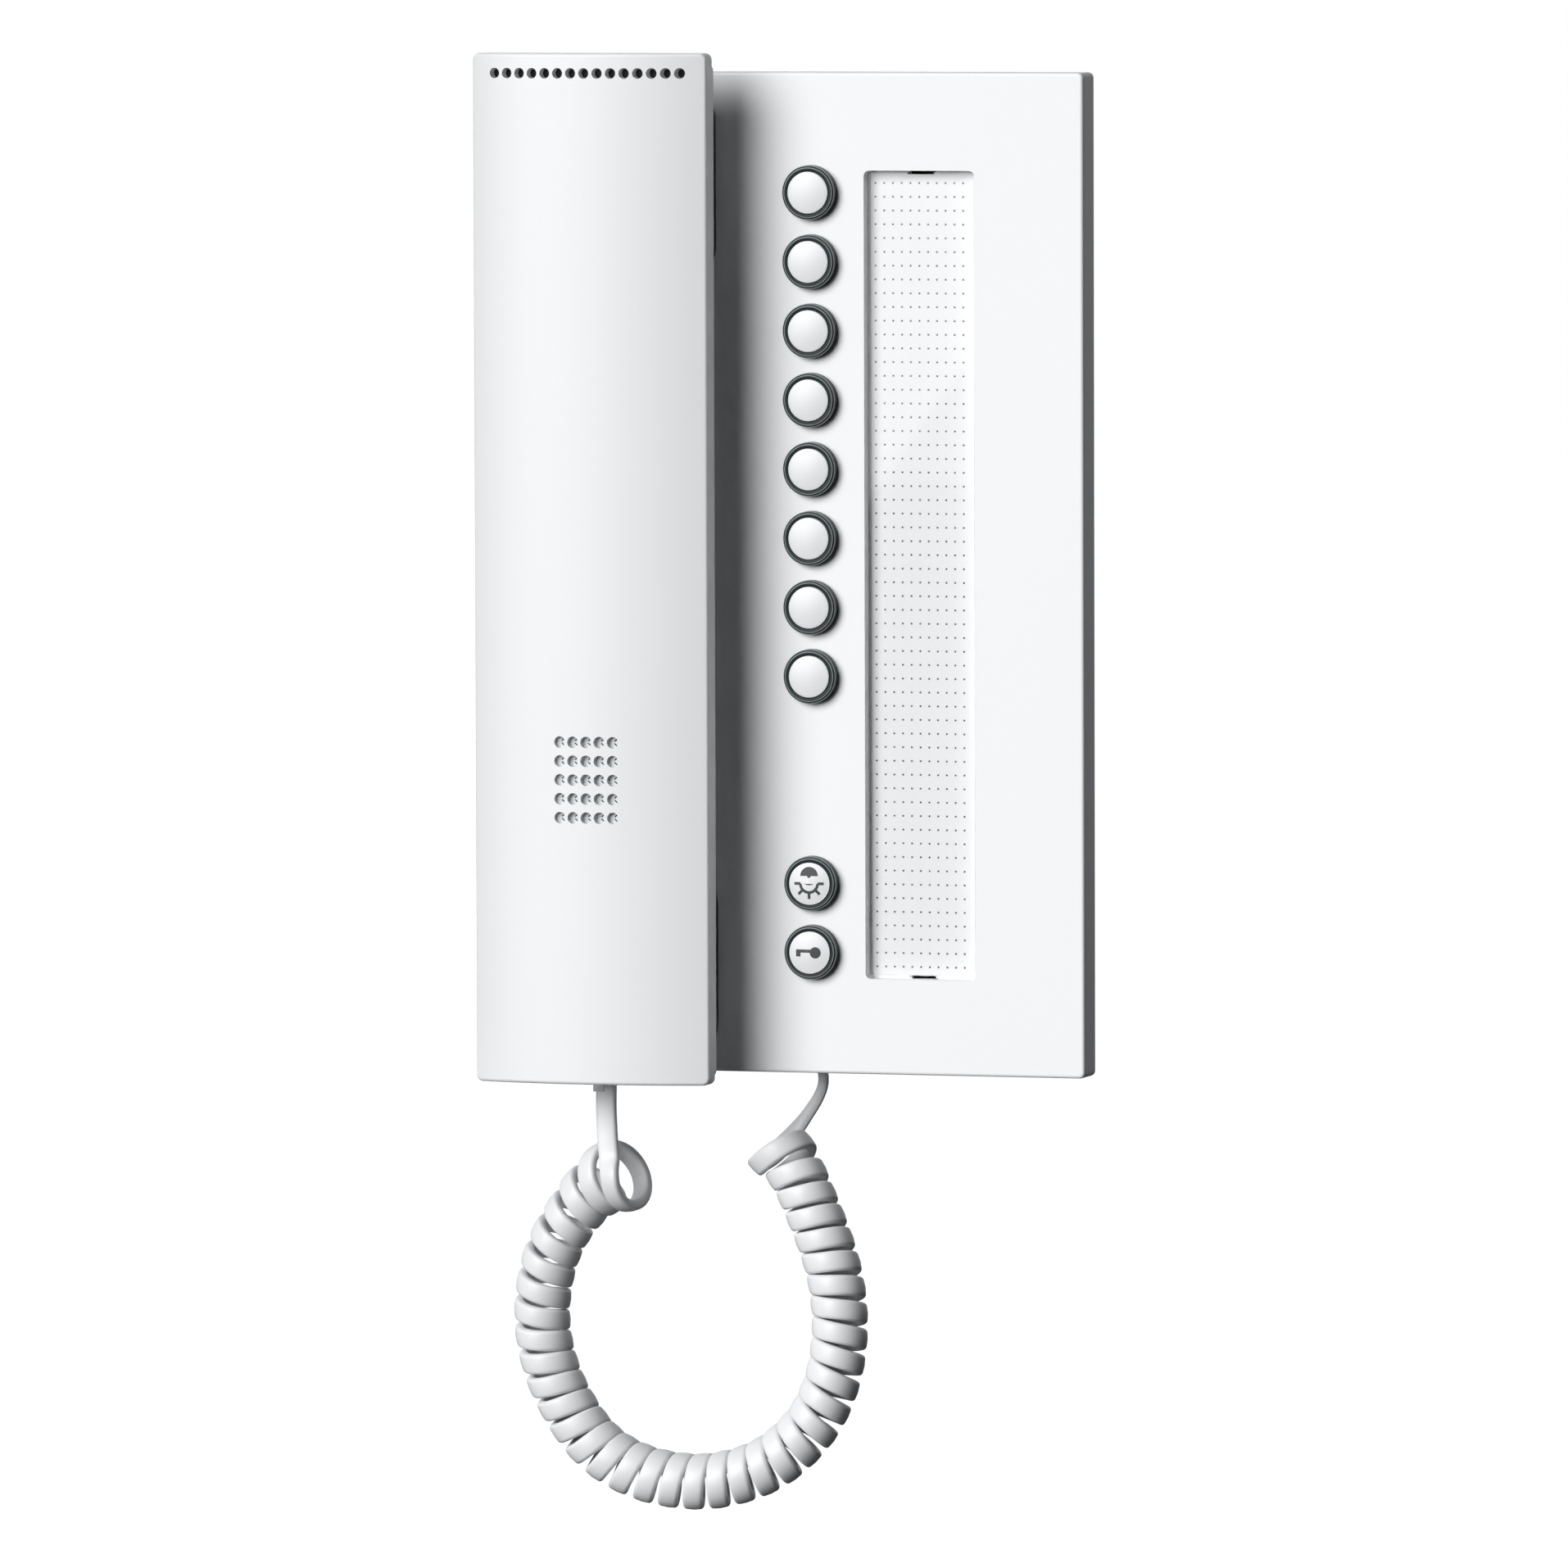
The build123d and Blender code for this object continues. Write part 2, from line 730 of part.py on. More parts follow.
# A large block that trims one end of the handset, tilted about its front edge
def end_trim(z, side, tilt):
    size = handset_width * 2
    block = Box(size, size, size, align=(Align.CENTER, Align.CENTER, Align.MIN))
    turn = Rot(tilt, 0, 0) if side > 0 else Rot(180 - tilt, 0, 0)
    return Pos(handset_x, -crown_out, z) * turn * block


def handset_front_shell():
    shell = crowned_bar(0, seam_out, handset_bottom, handset_top)
    shell -= end_trim(handset_top, 1, top_tilt)
    shell -= end_trim(handset_bottom, -1, bottom_tilt)
    short_edges = [edge for edge in shell.edges() if edge.length < front_side * 1.5]
    corners = [edge for edge in short_edges if abs(edge.center().X - handset_x) > handset_width / 3]
    shell = fillet(corners, handset_corner)
    crown_face = shell.faces().sort_by(Axis.Y)[0]
    shell = fillet(crown_face.edges(), handset_edge_round)
    end_inset = handset_wall + front_side * math.tan(math.radians(top_tilt))
    hollow = (handset_bottom + end_inset, handset_top - end_inset)
    shell -= crowned_bar(handset_wall, seam_out - overrun, *hollow)
    boss_root = crown_out - handset_wall / 2
    for z in shell_screw_spots:
        shell += disc(handset_x, z, shell_boss_radius, seam_out + shell_pad_rise, boss_root)
        shell -= disc(handset_x, z, shell_screw_radius + slip_gap, seam_out, crown_out - handset_wall)
    for index in range(ear_row_count):
        x = handset_x + (index - (ear_row_count - 1) / 2) * ear_row_pitch
        shell -= disc(x, handset_top - ear_row_inset, ear_row_radius, seam_out, crown_out + overrun)
    for column in range(grille_columns):
        for row in range(grille_rows):
            x = handset_x + (column - (grille_columns - 1) / 2) * grille_pitch_x
            z = grille_z + (row - (grille_rows - 1) / 2) * grille_pitch_z
            shell -= disc(x, z, grille_radius, seam_out, crown_out + overrun)
    return shell


# Handset back shell: a flat plate with a lip and two hollow humps
lip_thickness = 1.2
lip_height = 1.6
lip_gap = 0.15
ear_hole_radius = 0.9
ear_hole_pitch = 4.5
ear_hole_rings = 3
mic_below_mouth_top = 13.6
mic_z = mouth_top - mic_below_mouth_top
mic_hole_radius = 0.6
mic_hole_pitch = 2.2


def handset_back_shell():
    reach = handset_width / 2 - back_inset
    low = handset_bottom + back_bottom_inset
    high = handset_top - back_top_inset
    outline = (handset_x - reach, handset_x + reach, low, high)
    plate = rounded_slab(*outline, handset_back_out, seam_out, handset_corner)
    lip_reach = handset_width / 2 - handset_wall - lip_gap
    lip_inset = handset_wall + front_side * math.tan(math.radians(top_tilt)) + lip_gap
    lip_low = handset_bottom + lip_inset
    lip_high = handset_top - lip_inset
    lip_top = seam_out + lip_height
    around = (handset_x - lip_reach, handset_x + lip_reach, lip_low, lip_high)
    lip = slab(*around, handset_back_out + overrun, lip_top)
    inner_reach = lip_reach - lip_thickness
    inside = (handset_x - inner_reach, handset_x + inner_reach)
    inside += (lip_low + lip_thickness, lip_high - lip_thickness)
    lip -= slab(*inside, seam_out, lip_top + overrun)
    shell = plate + lip
    for z_min, z_max in ((ear_bottom, ear_top), (mouth_bottom, mouth_top)):
        half = hump_width / 2
        hump = (handset_x - half, handset_x + half, z_min, z_max)
        block = rounded_slab(*hump, hump_face_out, seam_out, hump_corner)
        face = block.faces().sort_by(Axis.Y)[-1]
        shell += fillet(face.edges(), hump_edge_round)
    for z_min, z_max in ((ear_bottom, ear_top), (mouth_bottom, mouth_top)):
        hollow = (handset_x - hump_inner_half, handset_x + hump_inner_half)
        hollow += (z_min + back_plate, z_max - back_plate)
        shell -= rounded_slab(*hollow, hump_floor_out, lip_top + overrun, hump_corner - back_plate)
    for z in shell_screw_spots:
        pad_top = seam_out + shell_pad_rise
        shell += disc(handset_x, z, shell_pad_radius, handset_back_out + overrun, pad_top)
        shell -= disc(handset_x, z, shell_screw_head_radius + slip_gap, handset_back_out - overrun, seam_out)
        shell -= disc(handset_x, z, shell_screw_radius + slip_gap * 2, handset_back_out, pad_top + overrun)
    for ring_number in range(ear_hole_rings):
        count = max(1, 6 * ring_number)
        for index in range(count):
            angle = 2 * math.pi * index / count
            x = handset_x + ring_number * ear_hole_pitch * math.cos(angle)
            z = ear_z + ring_number * ear_hole_pitch * math.sin(angle)
            shell -= disc(x, z, ear_hole_radius, hump_face_out - overrun, hump_floor_out + overrun)
    for index in (-1, 0, 1):
        x = handset_x + index * mic_hole_pitch
        shell -= disc(x, mic_z, mic_hole_radius, hump_face_out - overrun, hump_floor_out + overrun)
    mouth_x = plug_width / 2 + plug_gap
    mouth_out = plug_thickness / 2 + plug_gap
    opening = (handset_x - mouth_x, handset_x + mouth_x)
    opening += (mouth_bottom - overrun, mouth_bottom + back_plate + overrun)
    mouth_front = handset_cord_out + mouth_out + latch_thickness * 2
    shell -= slab(*opening, handset_cord_out - mouth_out, mouth_front)
    return shell


def handset_screws():
    screws = []
    head_back = seam_out - shell_screw_head
    for z in shell_screw_spots:
        head = disc(handset_x, z, shell_screw_head_radius, head_back, seam_out)
        shank_end = head_back + shell_screw_length
        shank = disc(handset_x, z, shell_screw_radius, seam_out - shell_screw_head / 2, shank_end)
        screws.append(head + shank)
    return Compound(children=screws)


# What the handset holds
earpiece_radius = 17.0
earpiece_depth = 5.0
magnet_radius = 11.0
magnet_depth = 4.0
seal_thickness = 1.5
seal_width = 3.0
boot_radius = 6.5
boot_depth = 6.5
boot_floor = 1.0
mic_radius = 4.85
mic_depth = 5.0
sound_port_radius = 1.5
buzzer_radius = 10.5
buzzer_depth = 3.5
handset_board_width = 24.0
handset_board_below = 13.8
handset_board_above = 14.2
handset_board_low = grille_z - handset_board_below
handset_board_high = grille_z + handset_board_above
handset_board_thickness = 1.2
weight_width = 18.0
weight_over_board = 10.0
weight_below_screw = 17.0
weight_low = handset_board_high + weight_over_board
weight_high = shell_screw_high - weight_below_screw
weight_depth = 4.6


def earpiece_seal():
    inner = earpiece_radius - seal_width
    return ring(handset_x, ear_z, earpiece_radius, inner, hump_floor_out, hump_floor_out + seal_thickness)


def earpiece():
    back = hump_floor_out + seal_thickness
    frame_front = back + earpiece_depth
    frame = disc(handset_x, ear_z, earpiece_radius, back, frame_front)
    return frame + disc(handset_x, ear_z, magnet_radius, back, frame_front + magnet_depth)


def microphone_boot():
    seat = hump_floor_out + boot_floor
    rim = hump_floor_out + boot_depth
    port = sound_port_radius + mic_hole_pitch
    boot = disc(handset_x, mic_z, boot_radius, hump_floor_out, rim)
    boot -= disc(handset_x, mic_z, mic_radius + slip_gap, seat, rim + overrun)
    return boot - disc(handset_x, mic_z, port, hump_floor_out - overrun, seat + overrun)


def microphone():
    back = hump_floor_out + boot_floor
    return disc(handset_x, mic_z, mic_radius, back, back + mic_depth)


def handset_board():
    half = handset_board_width / 2
    outline = (handset_x - half, handset_x + half, handset_board_low, handset_board_high)
    return slab(*outline, seam_out, seam_out + handset_board_thickness)


def call_buzzer():
    back = seam_out + handset_board_thickness
    body = disc(handset_x, grille_z, buzzer_radius, back, back + buzzer_depth)
    front = back + buzzer_depth
    return body - disc(handset_x, grille_z, sound_port_radius, front - buzzer_depth / 2, front + overrun)


def handset_weight():
    half = weight_width / 2
    outline = (handset_x - half, handset_x + half, weight_low, weight_high)
    return slab(*outline, seam_out, seam_out + weight_depth)


# A socket block, open at its lower end, and the plug that it takes
def socket(x, out, z_mouth, width_x, width_out, latch_side):
    half_x = width_x / 2
    half_out = width_out / 2
    grow_x = plug_gap + socket_wall + (latch_thickness * 2 if latch_side == "x" else 0)
    grow_out = plug_gap + socket_wall + (latch_thickness * 2 if latch_side == "out" else 0)
    sides = (x - half_x - grow_x, x + half_x + grow_x, z_mouth, z_mouth + socket_depth)
    block = slab(*sides, out - half_out - grow_out, out + half_out + grow_out)
    hole_x = half_x + plug_gap
    hole_out = half_out + plug_gap
    top = z_mouth + plug_inserted + plug_back_gap
    low = z_mouth - overrun
    hollow = slab(x - hole_x, x + hole_x, low, top, out - hole_out, out + hole_out)
    latch_half = latch_width / 2 + plug_gap
    extra = latch_thickness * 2
    if latch_side == "out":
        slot = slab(x - latch_half, x + latch_half, low, top, out, out + hole_out + extra)
    else:
        slot = slab(x, x + hole_x + extra, low, top, out - latch_half, out + latch_half)
    return block - hollow - slot


def plug(x, out, z_mouth, tail, width_x, width_out, latch_side):
    half_x = width_x / 2
    half_out = width_out / 2
    nose = z_mouth + plug_inserted
    body = slab(x - half_x, x + half_x, z_mouth - tail, nose, out - half_out, out + half_out)
    latch_half = latch_width / 2
    lift = latch_thickness / 2
    root = nose - latch_thickness * 2
    high = nose - plug_gap
    low = z_mouth - tail - latch_thickness * 2
    if latch_side == "out":
        reach = out + half_out + lift
        sides = (x - latch_half, x + latch_half)
        latch = slab(*sides, low, high, reach, reach + latch_thickness)
        latch += slab(*sides, root, high, out, reach + latch_thickness)
    else:
        reach = x + half_x + lift
        sides = (out - latch_half, out + latch_half)
        latch = slab(reach, reach + latch_thickness, low, high, *sides)
        latch += slab(x, reach + latch_thickness, root, high, *sides)
    return body + latch


handset_plug_tail = 5.5
handset_socket_z = mouth_bottom + back_plate
base_socket_z = -housing_half_height + housing_wall

# Route of the cord's two leads, from each plug to the coil
handset_lead_top = mouth_bottom - handset_plug_tail
handset_lead_below = 15.25
base_lead_below = 6.15
base_lead_bend = (3.3, 6.3)
handset_lead_end = -half_height - handset_lead_below
base_lead_top = -housing_half_height - plug_outside
base_lead_corner_z = -half_height - base_lead_below
base_lead_route = [
    (base_cord_x, base_cord_out, base_lead_top),
    (base_cord_x, base_cord_out, base_lead_corner_z),
    (base_cord_x - base_lead_bend[0], base_cord_out, base_lead_corner_z - base_lead_bend[1]),
]
lead_arc_share = 0.45

# Middle line of the coil, from the handset's end to the base's end:
# across from the handset's middle, out from the base's front, up from its lower edge
coil_route = [
    (2.3, 2.7, -22.65),
    (-3.8, 0.9, -26.25),
    (-9.9, -0.2, -30.85),
    (-16.1, -1.2, -39.55),
    (-19, -2.2, -51.85),
    (-18.3, -3, -62.55),
    (-14.7, -3.7, -72.65),
    (-7.5, -4.2, -83.25),
    (2.2, -4.6, -88.85),
    (13.4, -5, -90.85),
    (23.1, -5.4, -89.95),
    (33.3, -5.8, -86.05),
    (42.1, -6.2, -77.65),
    (46.5, -6.6, -68.15),
    (48.1, -7, -58.45),
    (47.6, -7.4, -48.45),
    (45.2, -7.9, -39.25),
    (41.1, -8.5, -29.45),
    (36.9, -9.1, -21.05),
]
samples_per_span = 40
first_loop_fade = 7.0
opened_share = 0.3
opened_fade = 14.0


def curve_spot(points, number):
    span = min(int(number), len(points) - 2)
    part = number - span
    here = points[span]
    there = points[span + 1]
    before = points[span - 1] if span > 0 else here * 2 - there
    after = points[span + 2] if span + 2 < len(points) else there * 2 - here
    slope_here = (there - before) / 2
    slope_there = (after - here) / 2
    square = part * part
    cube = square * part
    spot = here * (2 * cube - 3 * square + 1) + slope_here * (cube - 2 * square + part)
    return spot + there * (3 * square - 2 * cube) + slope_there * (cube - square)


# The middle line in even samples, each with a direction and a sideways vector
def coil_frames():
    points = [
        place(handset_x + across, base_out + ahead, -half_height + above)
        for across, ahead, above in coil_route
    ]
    count = samples_per_span * (len(points) - 1)
    spots = [curve_spot(points, (len(points) - 1) * index / count) for index in range(count + 1)]
    lengths = [0.0]
    for first, second in zip(spots, spots[1:]):
        lengths.append(lengths[-1] + (second - first).length)
    headings = []
    for index in range(count + 1):
        low = max(index - 1, 0)
        high = min(index + 1, count)
        headings.append((spots[high] - spots[low]).normalized())
    sideways = [headings[0].cross(Vector(0, 0, -1)).normalized()]
    for heading in headings[1:]:
        last = sideways[-1]
        sideways.append((last - heading * last.dot(heading)).normalized())
    return spots, lengths, headings, sideways


frames = coil_frames()
coil_length = frames[1][-1]


def frame_at(length):
    spots, lengths, headings, sideways = frames
    low = 0
    high = len(lengths) - 1
    while high - low > 1:
        middle = (low + high) // 2
        if lengths[middle] <= length:
            low = middle
        else:
            high = middle
    share = (length - lengths[low]) / (lengths[high] - lengths[low])
    spot = spots[low] * (1 - share) + spots[high] * share
    heading = (headings[low] * (1 - share) + headings[high] * share).normalized()
    side = sideways[low] * (1 - share) + sideways[high] * share
    side = (side - heading * side.dot(heading)).normalized()
    return spot, heading, side


# The first turns lie further apart, so the turn count grows slowly at the start
def turns_at(length):
    def grown(distance):
        return distance - opened_share * opened_fade * (1 - math.exp(-distance / opened_fade))

    return coil_turns * grown(length) / grown(coil_length)


def wire_spot(length):
    spot, heading, side = frame_at(length)
    across = heading.cross(side)
    angle = -2 * math.pi * turns_at(length)
    radius = coil_radius + first_loop_extra * math.exp(-length / first_loop_fade)
    return spot + (side * math.cos(angle) + across * math.sin(angle)) * radius


def wire_heading(length):
    step = coil_length / (coil_turns * 400)
    low = max(length - step, 0)
    high = min(length + step, coil_length)
    return (wire_spot(high) - wire_spot(low)).normalized()


def length_at_turn(turn):
    low = 0.0
    high = coil_length
    for _ in range(50):
        middle = (low + high) / 2
        if turns_at(middle) < turn:
            low = middle
        else:
            high = middle
    return (low + high) / 2


def coil_arcs():
    arcs = []
    marks = [length_at_turn(turn / 2) for turn in range(int(coil_turns * 2) + 1)]
    spots = [(wire_spot(mark), wire_heading(mark)) for mark in marks]
    for first, second in zip(spots, spots[1:]):
        arcs += biarc(*first, *second)
    return arcs


def cord_coil():
    arcs = coil_arcs()
    start = place(handset_x, handset_cord_out, handset_lead_end)
    down = Vector(0, 0, -1)
    start_inner = start + down * cord_diameter
    lead_end = place(*base_lead_route[-1])
    lead_before = place(*base_lead_route[-2])
    away = (lead_end - lead_before).normalized()
    end_inner = lead_end + away * cord_diameter
    first_start, first_heading, _ = arcs[0]
    last_end = arcs[-1][2]
    final_heading = wire_heading(coil_length)
    entry = biarc(start_inner, down, first_start, first_heading)
    leave = biarc(last_end, final_heading, end_inner, -away)
    every = entry + arcs + leave
    radii = [arc_radius(arc) for arc in every]
    print("coil arcs", len(every), "least radius", round(min(radii), 2), "wire", cord_diameter)
    edges = [Edge.make_line(start, start_inner)] + arc_edges(every) + [Edge.make_line(end_inner, lead_end)]
    wire = Wire(edges)
    print("coil tube length", round(wire.length, 1), "middle line", round(coil_length, 1))
    print("least gap of the coil to itself", round(least_gap(edges), 2))
    return tube(edges, cord_diameter / 2)


# Least gap between stretches of the tube that are over half a turn apart
def least_gap(edges):
    points = []
    travelled = []
    run = 0.0
    for edge in edges:
        steps = 8
        for step in range(steps):
            points.append(edge @ (step / steps))
            travelled.append(run + edge.length * step / steps)
        run += edge.length
    apart = 2 * coil_radius
    least = math.inf
    for first in range(len(points)):
        for second in range(first + 1, len(points)):
            gap_along = travelled[second] - travelled[first]
            if gap_along < apart:
                continue
            if gap_along > apart * 12:
                break
            least = min(least, (points[second] - points[first]).length)
    return least - cord_diameter


def cord_handset_lead():
    start = place(handset_x, handset_cord_out, handset_lead_top)
    end = place(handset_x, handset_cord_out, handset_lead_end)
    return tube([Edge.make_line(start, end)], cord_diameter / 2)


# A lead along straight runs joined by arcs as large as the runs allow
def cord_base_lead():
    points = [place(*spot) for spot in base_lead_route]
    radii = []
    for before, corner, after in zip(points, points[1:], points[2:]):
        turn = (corner - before).get_angle(after - corner)
        shorter = min((corner - before).length, (after - corner).length)
        radii.append(lead_arc_share * shorter / math.tan(math.radians(turn) / 2))
    path = FilletPolyline(*points, radius=radii)
    print("base lead radii", [round(radius, 1) for radius in radii])
    lead = tube(path.edges(), cord_diameter / 2)
    area = math.pi * cord_diameter * cord_diameter / 4
    print("base lead volume share", round(lead.volume / (area * path.length), 4))
    return lead


os.makedirs("parts", exist_ok=True)

export("front_cover", front_cover())
export("back_housing", back_housing())
export("wall_plate", wall_plate())
export("main_board", main_board())
export("board_screws", board_screws())
export("cover_screws", cover_screws())
export("button_switches", button_switches())
export("terminal_block", terminal_block())
export("relay", relay())
export("capacitors", capacitors())
export("name_strip", name_strip())
export("strip_cover", strip_cover())
export("hook_plunger", hook_plunger())
export("hook_spring", hook_spring())
export("hook_switch", hook_switch())

for name, step in zip(button_names, button_steps):
    z = button_z(step)
    cap = button_cap(z)
    symbol_floor = base_out + cap_rise - dome_rise - symbol_depth
    symbol_top = base_out + cap_rise + overrun
    if name == "light_button":
        mark = cap & lamp_symbol(z, symbol_floor, symbol_top)
        cap -= mark
        export("light_symbol", mark)
    if name == "door_button":
        mark = cap & key_symbol(z, symbol_floor, symbol_top)
        cap -= mark
        export("door_symbol", mark)
    export(name, cap)
    export(name.replace("button", "ring"), button_ring(z))

export("handset_front_shell", handset_front_shell())
export("handset_back_shell", handset_back_shell())
export("handset_screws", handset_screws())
export("earpiece", earpiece())
export("earpiece_seal", earpiece_seal())
export("microphone", microphone())
export("microphone_boot", microphone_boot())
export("handset_board", handset_board())
export("call_buzzer", call_buzzer())
export("handset_weight", handset_weight())

handset_end = (handset_x, handset_cord_out)
handset_section = (plug_width, plug_thickness, "out")
base_end = (base_cord_x, base_cord_out)
base_section = (plug_thickness, plug_width, "x")
export("handset_socket", socket(*handset_end, handset_socket_z, *handset_section))
export("base_socket", socket(*base_end, base_socket_z, *base_section))
export("handset_plug", plug(*handset_end, mouth_bottom, handset_plug_tail, *handset_section))
export("base_plug", plug(*base_end, -housing_half_height, plug_outside, *base_section))
export("cord_handset_lead", cord_handset_lead())
export("cord_base_lead", cord_base_lead())
export("cord_coil", cord_coil())
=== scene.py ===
import math

import bmesh
import bpy
from mathutils import Matrix, Vector


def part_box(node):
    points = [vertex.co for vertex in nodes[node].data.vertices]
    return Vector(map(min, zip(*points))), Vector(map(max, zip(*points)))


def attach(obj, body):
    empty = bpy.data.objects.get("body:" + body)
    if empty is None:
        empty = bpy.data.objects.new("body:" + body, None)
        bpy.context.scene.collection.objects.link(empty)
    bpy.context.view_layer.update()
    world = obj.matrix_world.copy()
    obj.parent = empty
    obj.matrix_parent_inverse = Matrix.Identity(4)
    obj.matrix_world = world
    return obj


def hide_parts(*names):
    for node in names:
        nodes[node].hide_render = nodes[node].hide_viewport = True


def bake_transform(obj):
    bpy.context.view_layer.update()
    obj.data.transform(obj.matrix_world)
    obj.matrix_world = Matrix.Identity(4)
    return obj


mm = 0.001

print("loading the packed model")
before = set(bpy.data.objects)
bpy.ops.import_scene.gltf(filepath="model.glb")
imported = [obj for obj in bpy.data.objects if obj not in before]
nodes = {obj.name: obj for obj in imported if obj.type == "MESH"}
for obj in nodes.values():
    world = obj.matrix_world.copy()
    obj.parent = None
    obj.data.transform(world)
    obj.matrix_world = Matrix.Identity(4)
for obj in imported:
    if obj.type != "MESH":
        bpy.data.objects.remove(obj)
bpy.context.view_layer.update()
scene = bpy.context.scene


# camera
cameraSettings = {
    "place": (1.0122, -3.3406, 0.1700),
    "aim": (-0.009132, 0.0, -0.047408),
    "roll": -0.00295,  # radians
    "lens": 367.06,
    "sensor": 36.0,
    "near": 0.1,
    "far": 60.0,
}


def makeCamera(settings):
    place = Vector(settings["place"])
    back = (place - Vector(settings["aim"])).normalized()
    right = Vector((0, 0, 1)).cross(back).normalized()
    up = back.cross(right)
    turn = settings["roll"]
    across = right * math.cos(turn) + up * math.sin(turn)
    up = up * math.cos(turn) - right * math.sin(turn)
    camera = bpy.data.objects.new("camera", bpy.data.cameras.new("camera"))
    scene.collection.objects.link(camera)
    rotation = Matrix((across, up, back)).transposed().to_4x4()
    camera.matrix_world = Matrix.Translation(place) @ rotation
    camera.data.lens = settings["lens"]
    camera.data.sensor_width = settings["sensor"]
    camera.data.clip_start = settings["near"]
    camera.data.clip_end = settings["far"]
    scene.camera = camera


print("placing the camera")
makeCamera(cameraSettings)


# small makers that the pieces share
def newObject(name, mesh):
    piece = bpy.data.objects.new(name, mesh)
    scene.collection.objects.link(piece)
    return piece


def smoothFaces(mesh, smooth=True):
    for face in mesh.polygons:
        face.use_smooth = smooth


def meshFrom(name, points, faces, smooth=True):
    mesh = bpy.data.meshes.new(name)
    mesh.from_pydata([tuple(p) for p in points], [], faces)
    mesh.validate()
    mesh.update()
    smoothFaces(mesh, smooth)
    return mesh


def meshOf(name, bm):
    mesh = bpy.data.meshes.new(name)
    bm.to_mesh(mesh)
    bm.free()
    return mesh


def faceOutwards(mesh):
    bm = bmesh.new()
    bm.from_mesh(mesh)
    bmesh.ops.recalc_face_normals(bm, faces=bm.faces)
    bm.to_mesh(mesh)
    bm.free()


def evaluatedMesh(piece):
    bpy.context.view_layer.update()
    graph = bpy.context.evaluated_depsgraph_get()
    return bpy.data.meshes.new_from_object(piece.evaluated_get(graph))


def splinePoints(points, perSpan):
    # points of a smooth NURBS line that follows the route, read back from Blender
    curve = bpy.data.curves.new("route", "CURVE")
    curve.dimensions = "3D"
    curve.resolution_u = perSpan
    spline = curve.splines.new("NURBS")
    spline.points.add(len(points) - 1)
    for target, point in zip(spline.points, points):
        target.co = (*point, 1)
    spline.order_u = 3
    spline.use_endpoint_u = True
    route = newObject("route", curve)
    line = evaluatedMesh(route)
    found = [vertex.co.copy() for vertex in line.vertices]
    bpy.data.objects.remove(route)
    bpy.data.curves.remove(curve)
    bpy.data.meshes.remove(line)
    return found


# curly cord, one flat ribbon from the handset's plug to the base's plug
cordSettings = {
    "ribbonWidth": 4.5 * mm,
    "ribbonThickness": 2.2 * mm,
    "ribbonCorner": 0.85 * mm,
    "outerCrown": 0.12 * mm,
    "cornerSteps": 4,
    "coilRadius": 5.1 * mm,
    "turns": 36.4,
    "pointsPerTurn": 14,
    "firstLoopExtra": 2.5 * mm,
    "firstLoopFade": 1.5,  # turns
    "lastLoopExtra": 1.3 * mm,
    "lastLoopFade": 0.9,  # turns
    "openedShare": 0.45,  # how much further apart the first turns lie
    "openedFade": 18.0 * mm,
    "lastOpenedShare": 0.32,  # the same at the other end
    "lastOpenedFade": 5.0 * mm,
    "settleRounds": 30,  # to find where each point lies on the opened coil
    "routeSteps": 24,  # points between two of the route's
    "ribbonSteps": 3,  # points between two of the ribbon's
    "firstFace": (0.02, -1.0, 0.0),  # the way that the handset lead's outer face looks
    "realLength": 1.23,  # metres of ribbon
    "blendStart": (-0.0385, -0.03, -0.116),
    "blendEnd": (0.0015, -0.02, -0.1310),
}
handsetLead = [
    (-0.0399, -0.0320, -0.1097),
    (-0.0401, -0.0320, -0.1150),
    (-0.0399, -0.0321, -0.1200),
    (-0.0396, -0.0323, -0.1245),
    (-0.0391, -0.0326, -0.1282),
]
coilRoute = [
    (-0.0352, -0.0282, -0.1308),
    (-0.0418, -0.0250, -0.1318),
    (-0.0487, -0.0238, -0.1382),
    (-0.0556, -0.0228, -0.1483),
    (-0.0585, -0.0218, -0.1606),
    (-0.0578, -0.0210, -0.1713),
    (-0.0542, -0.0203, -0.1814),
    (-0.0470, -0.0198, -0.1920),
    (-0.0373, -0.0194, -0.1976),
    (-0.0261, -0.0190, -0.1996),
    (-0.0164, -0.0186, -0.1987),
    (-0.0062, -0.0182, -0.1948),
    (0.0026, -0.0178, -0.1864),
    (0.0070, -0.0174, -0.1769),
    (0.0086, -0.0170, -0.1672),
    (0.0081, -0.0166, -0.1572),
    (0.0057, -0.0161, -0.1480),
    (0.0008, -0.0155, -0.1366),
    (-0.0030, -0.0149, -0.1289),
    (-0.0070, -0.0147, -0.1252),
]
baseLead = [
    (-0.0104, -0.0094, -0.1290),
    (-0.0088, -0.0080, -0.1277),
    (-0.0068, -0.0074, -0.1255),
    (-0.0049, -0.0069, -0.1231),
    (-0.0030, -0.0071, -0.1210),
    (-0.0011, -0.0080, -0.1186),
    (0.0009, -0.0089, -0.1160),
    (0.0024, -0.0096, -0.1133),
    (0.0028, -0.0098, -0.1106),
    (0.0022, -0.0098, -0.1076),
]
baseLeadFaces = [  # the way that the ribbon's outer face looks at each of those points
    (-0.39, 0.78, -0.48),
    (0.0, 0.94, -0.32),
    (0.38, 0.83, -0.38),
    (0.62, 0.6, -0.48),
    (0.7, 0.48, -0.52),
    (0.77, 0.38, -0.5),
    (0.84, 0.32, -0.42),
    (0.92, 0.3, -0.25),
    (0.96, 0.29, -0.05),
    (0.96, 0.29, 0.0),
]


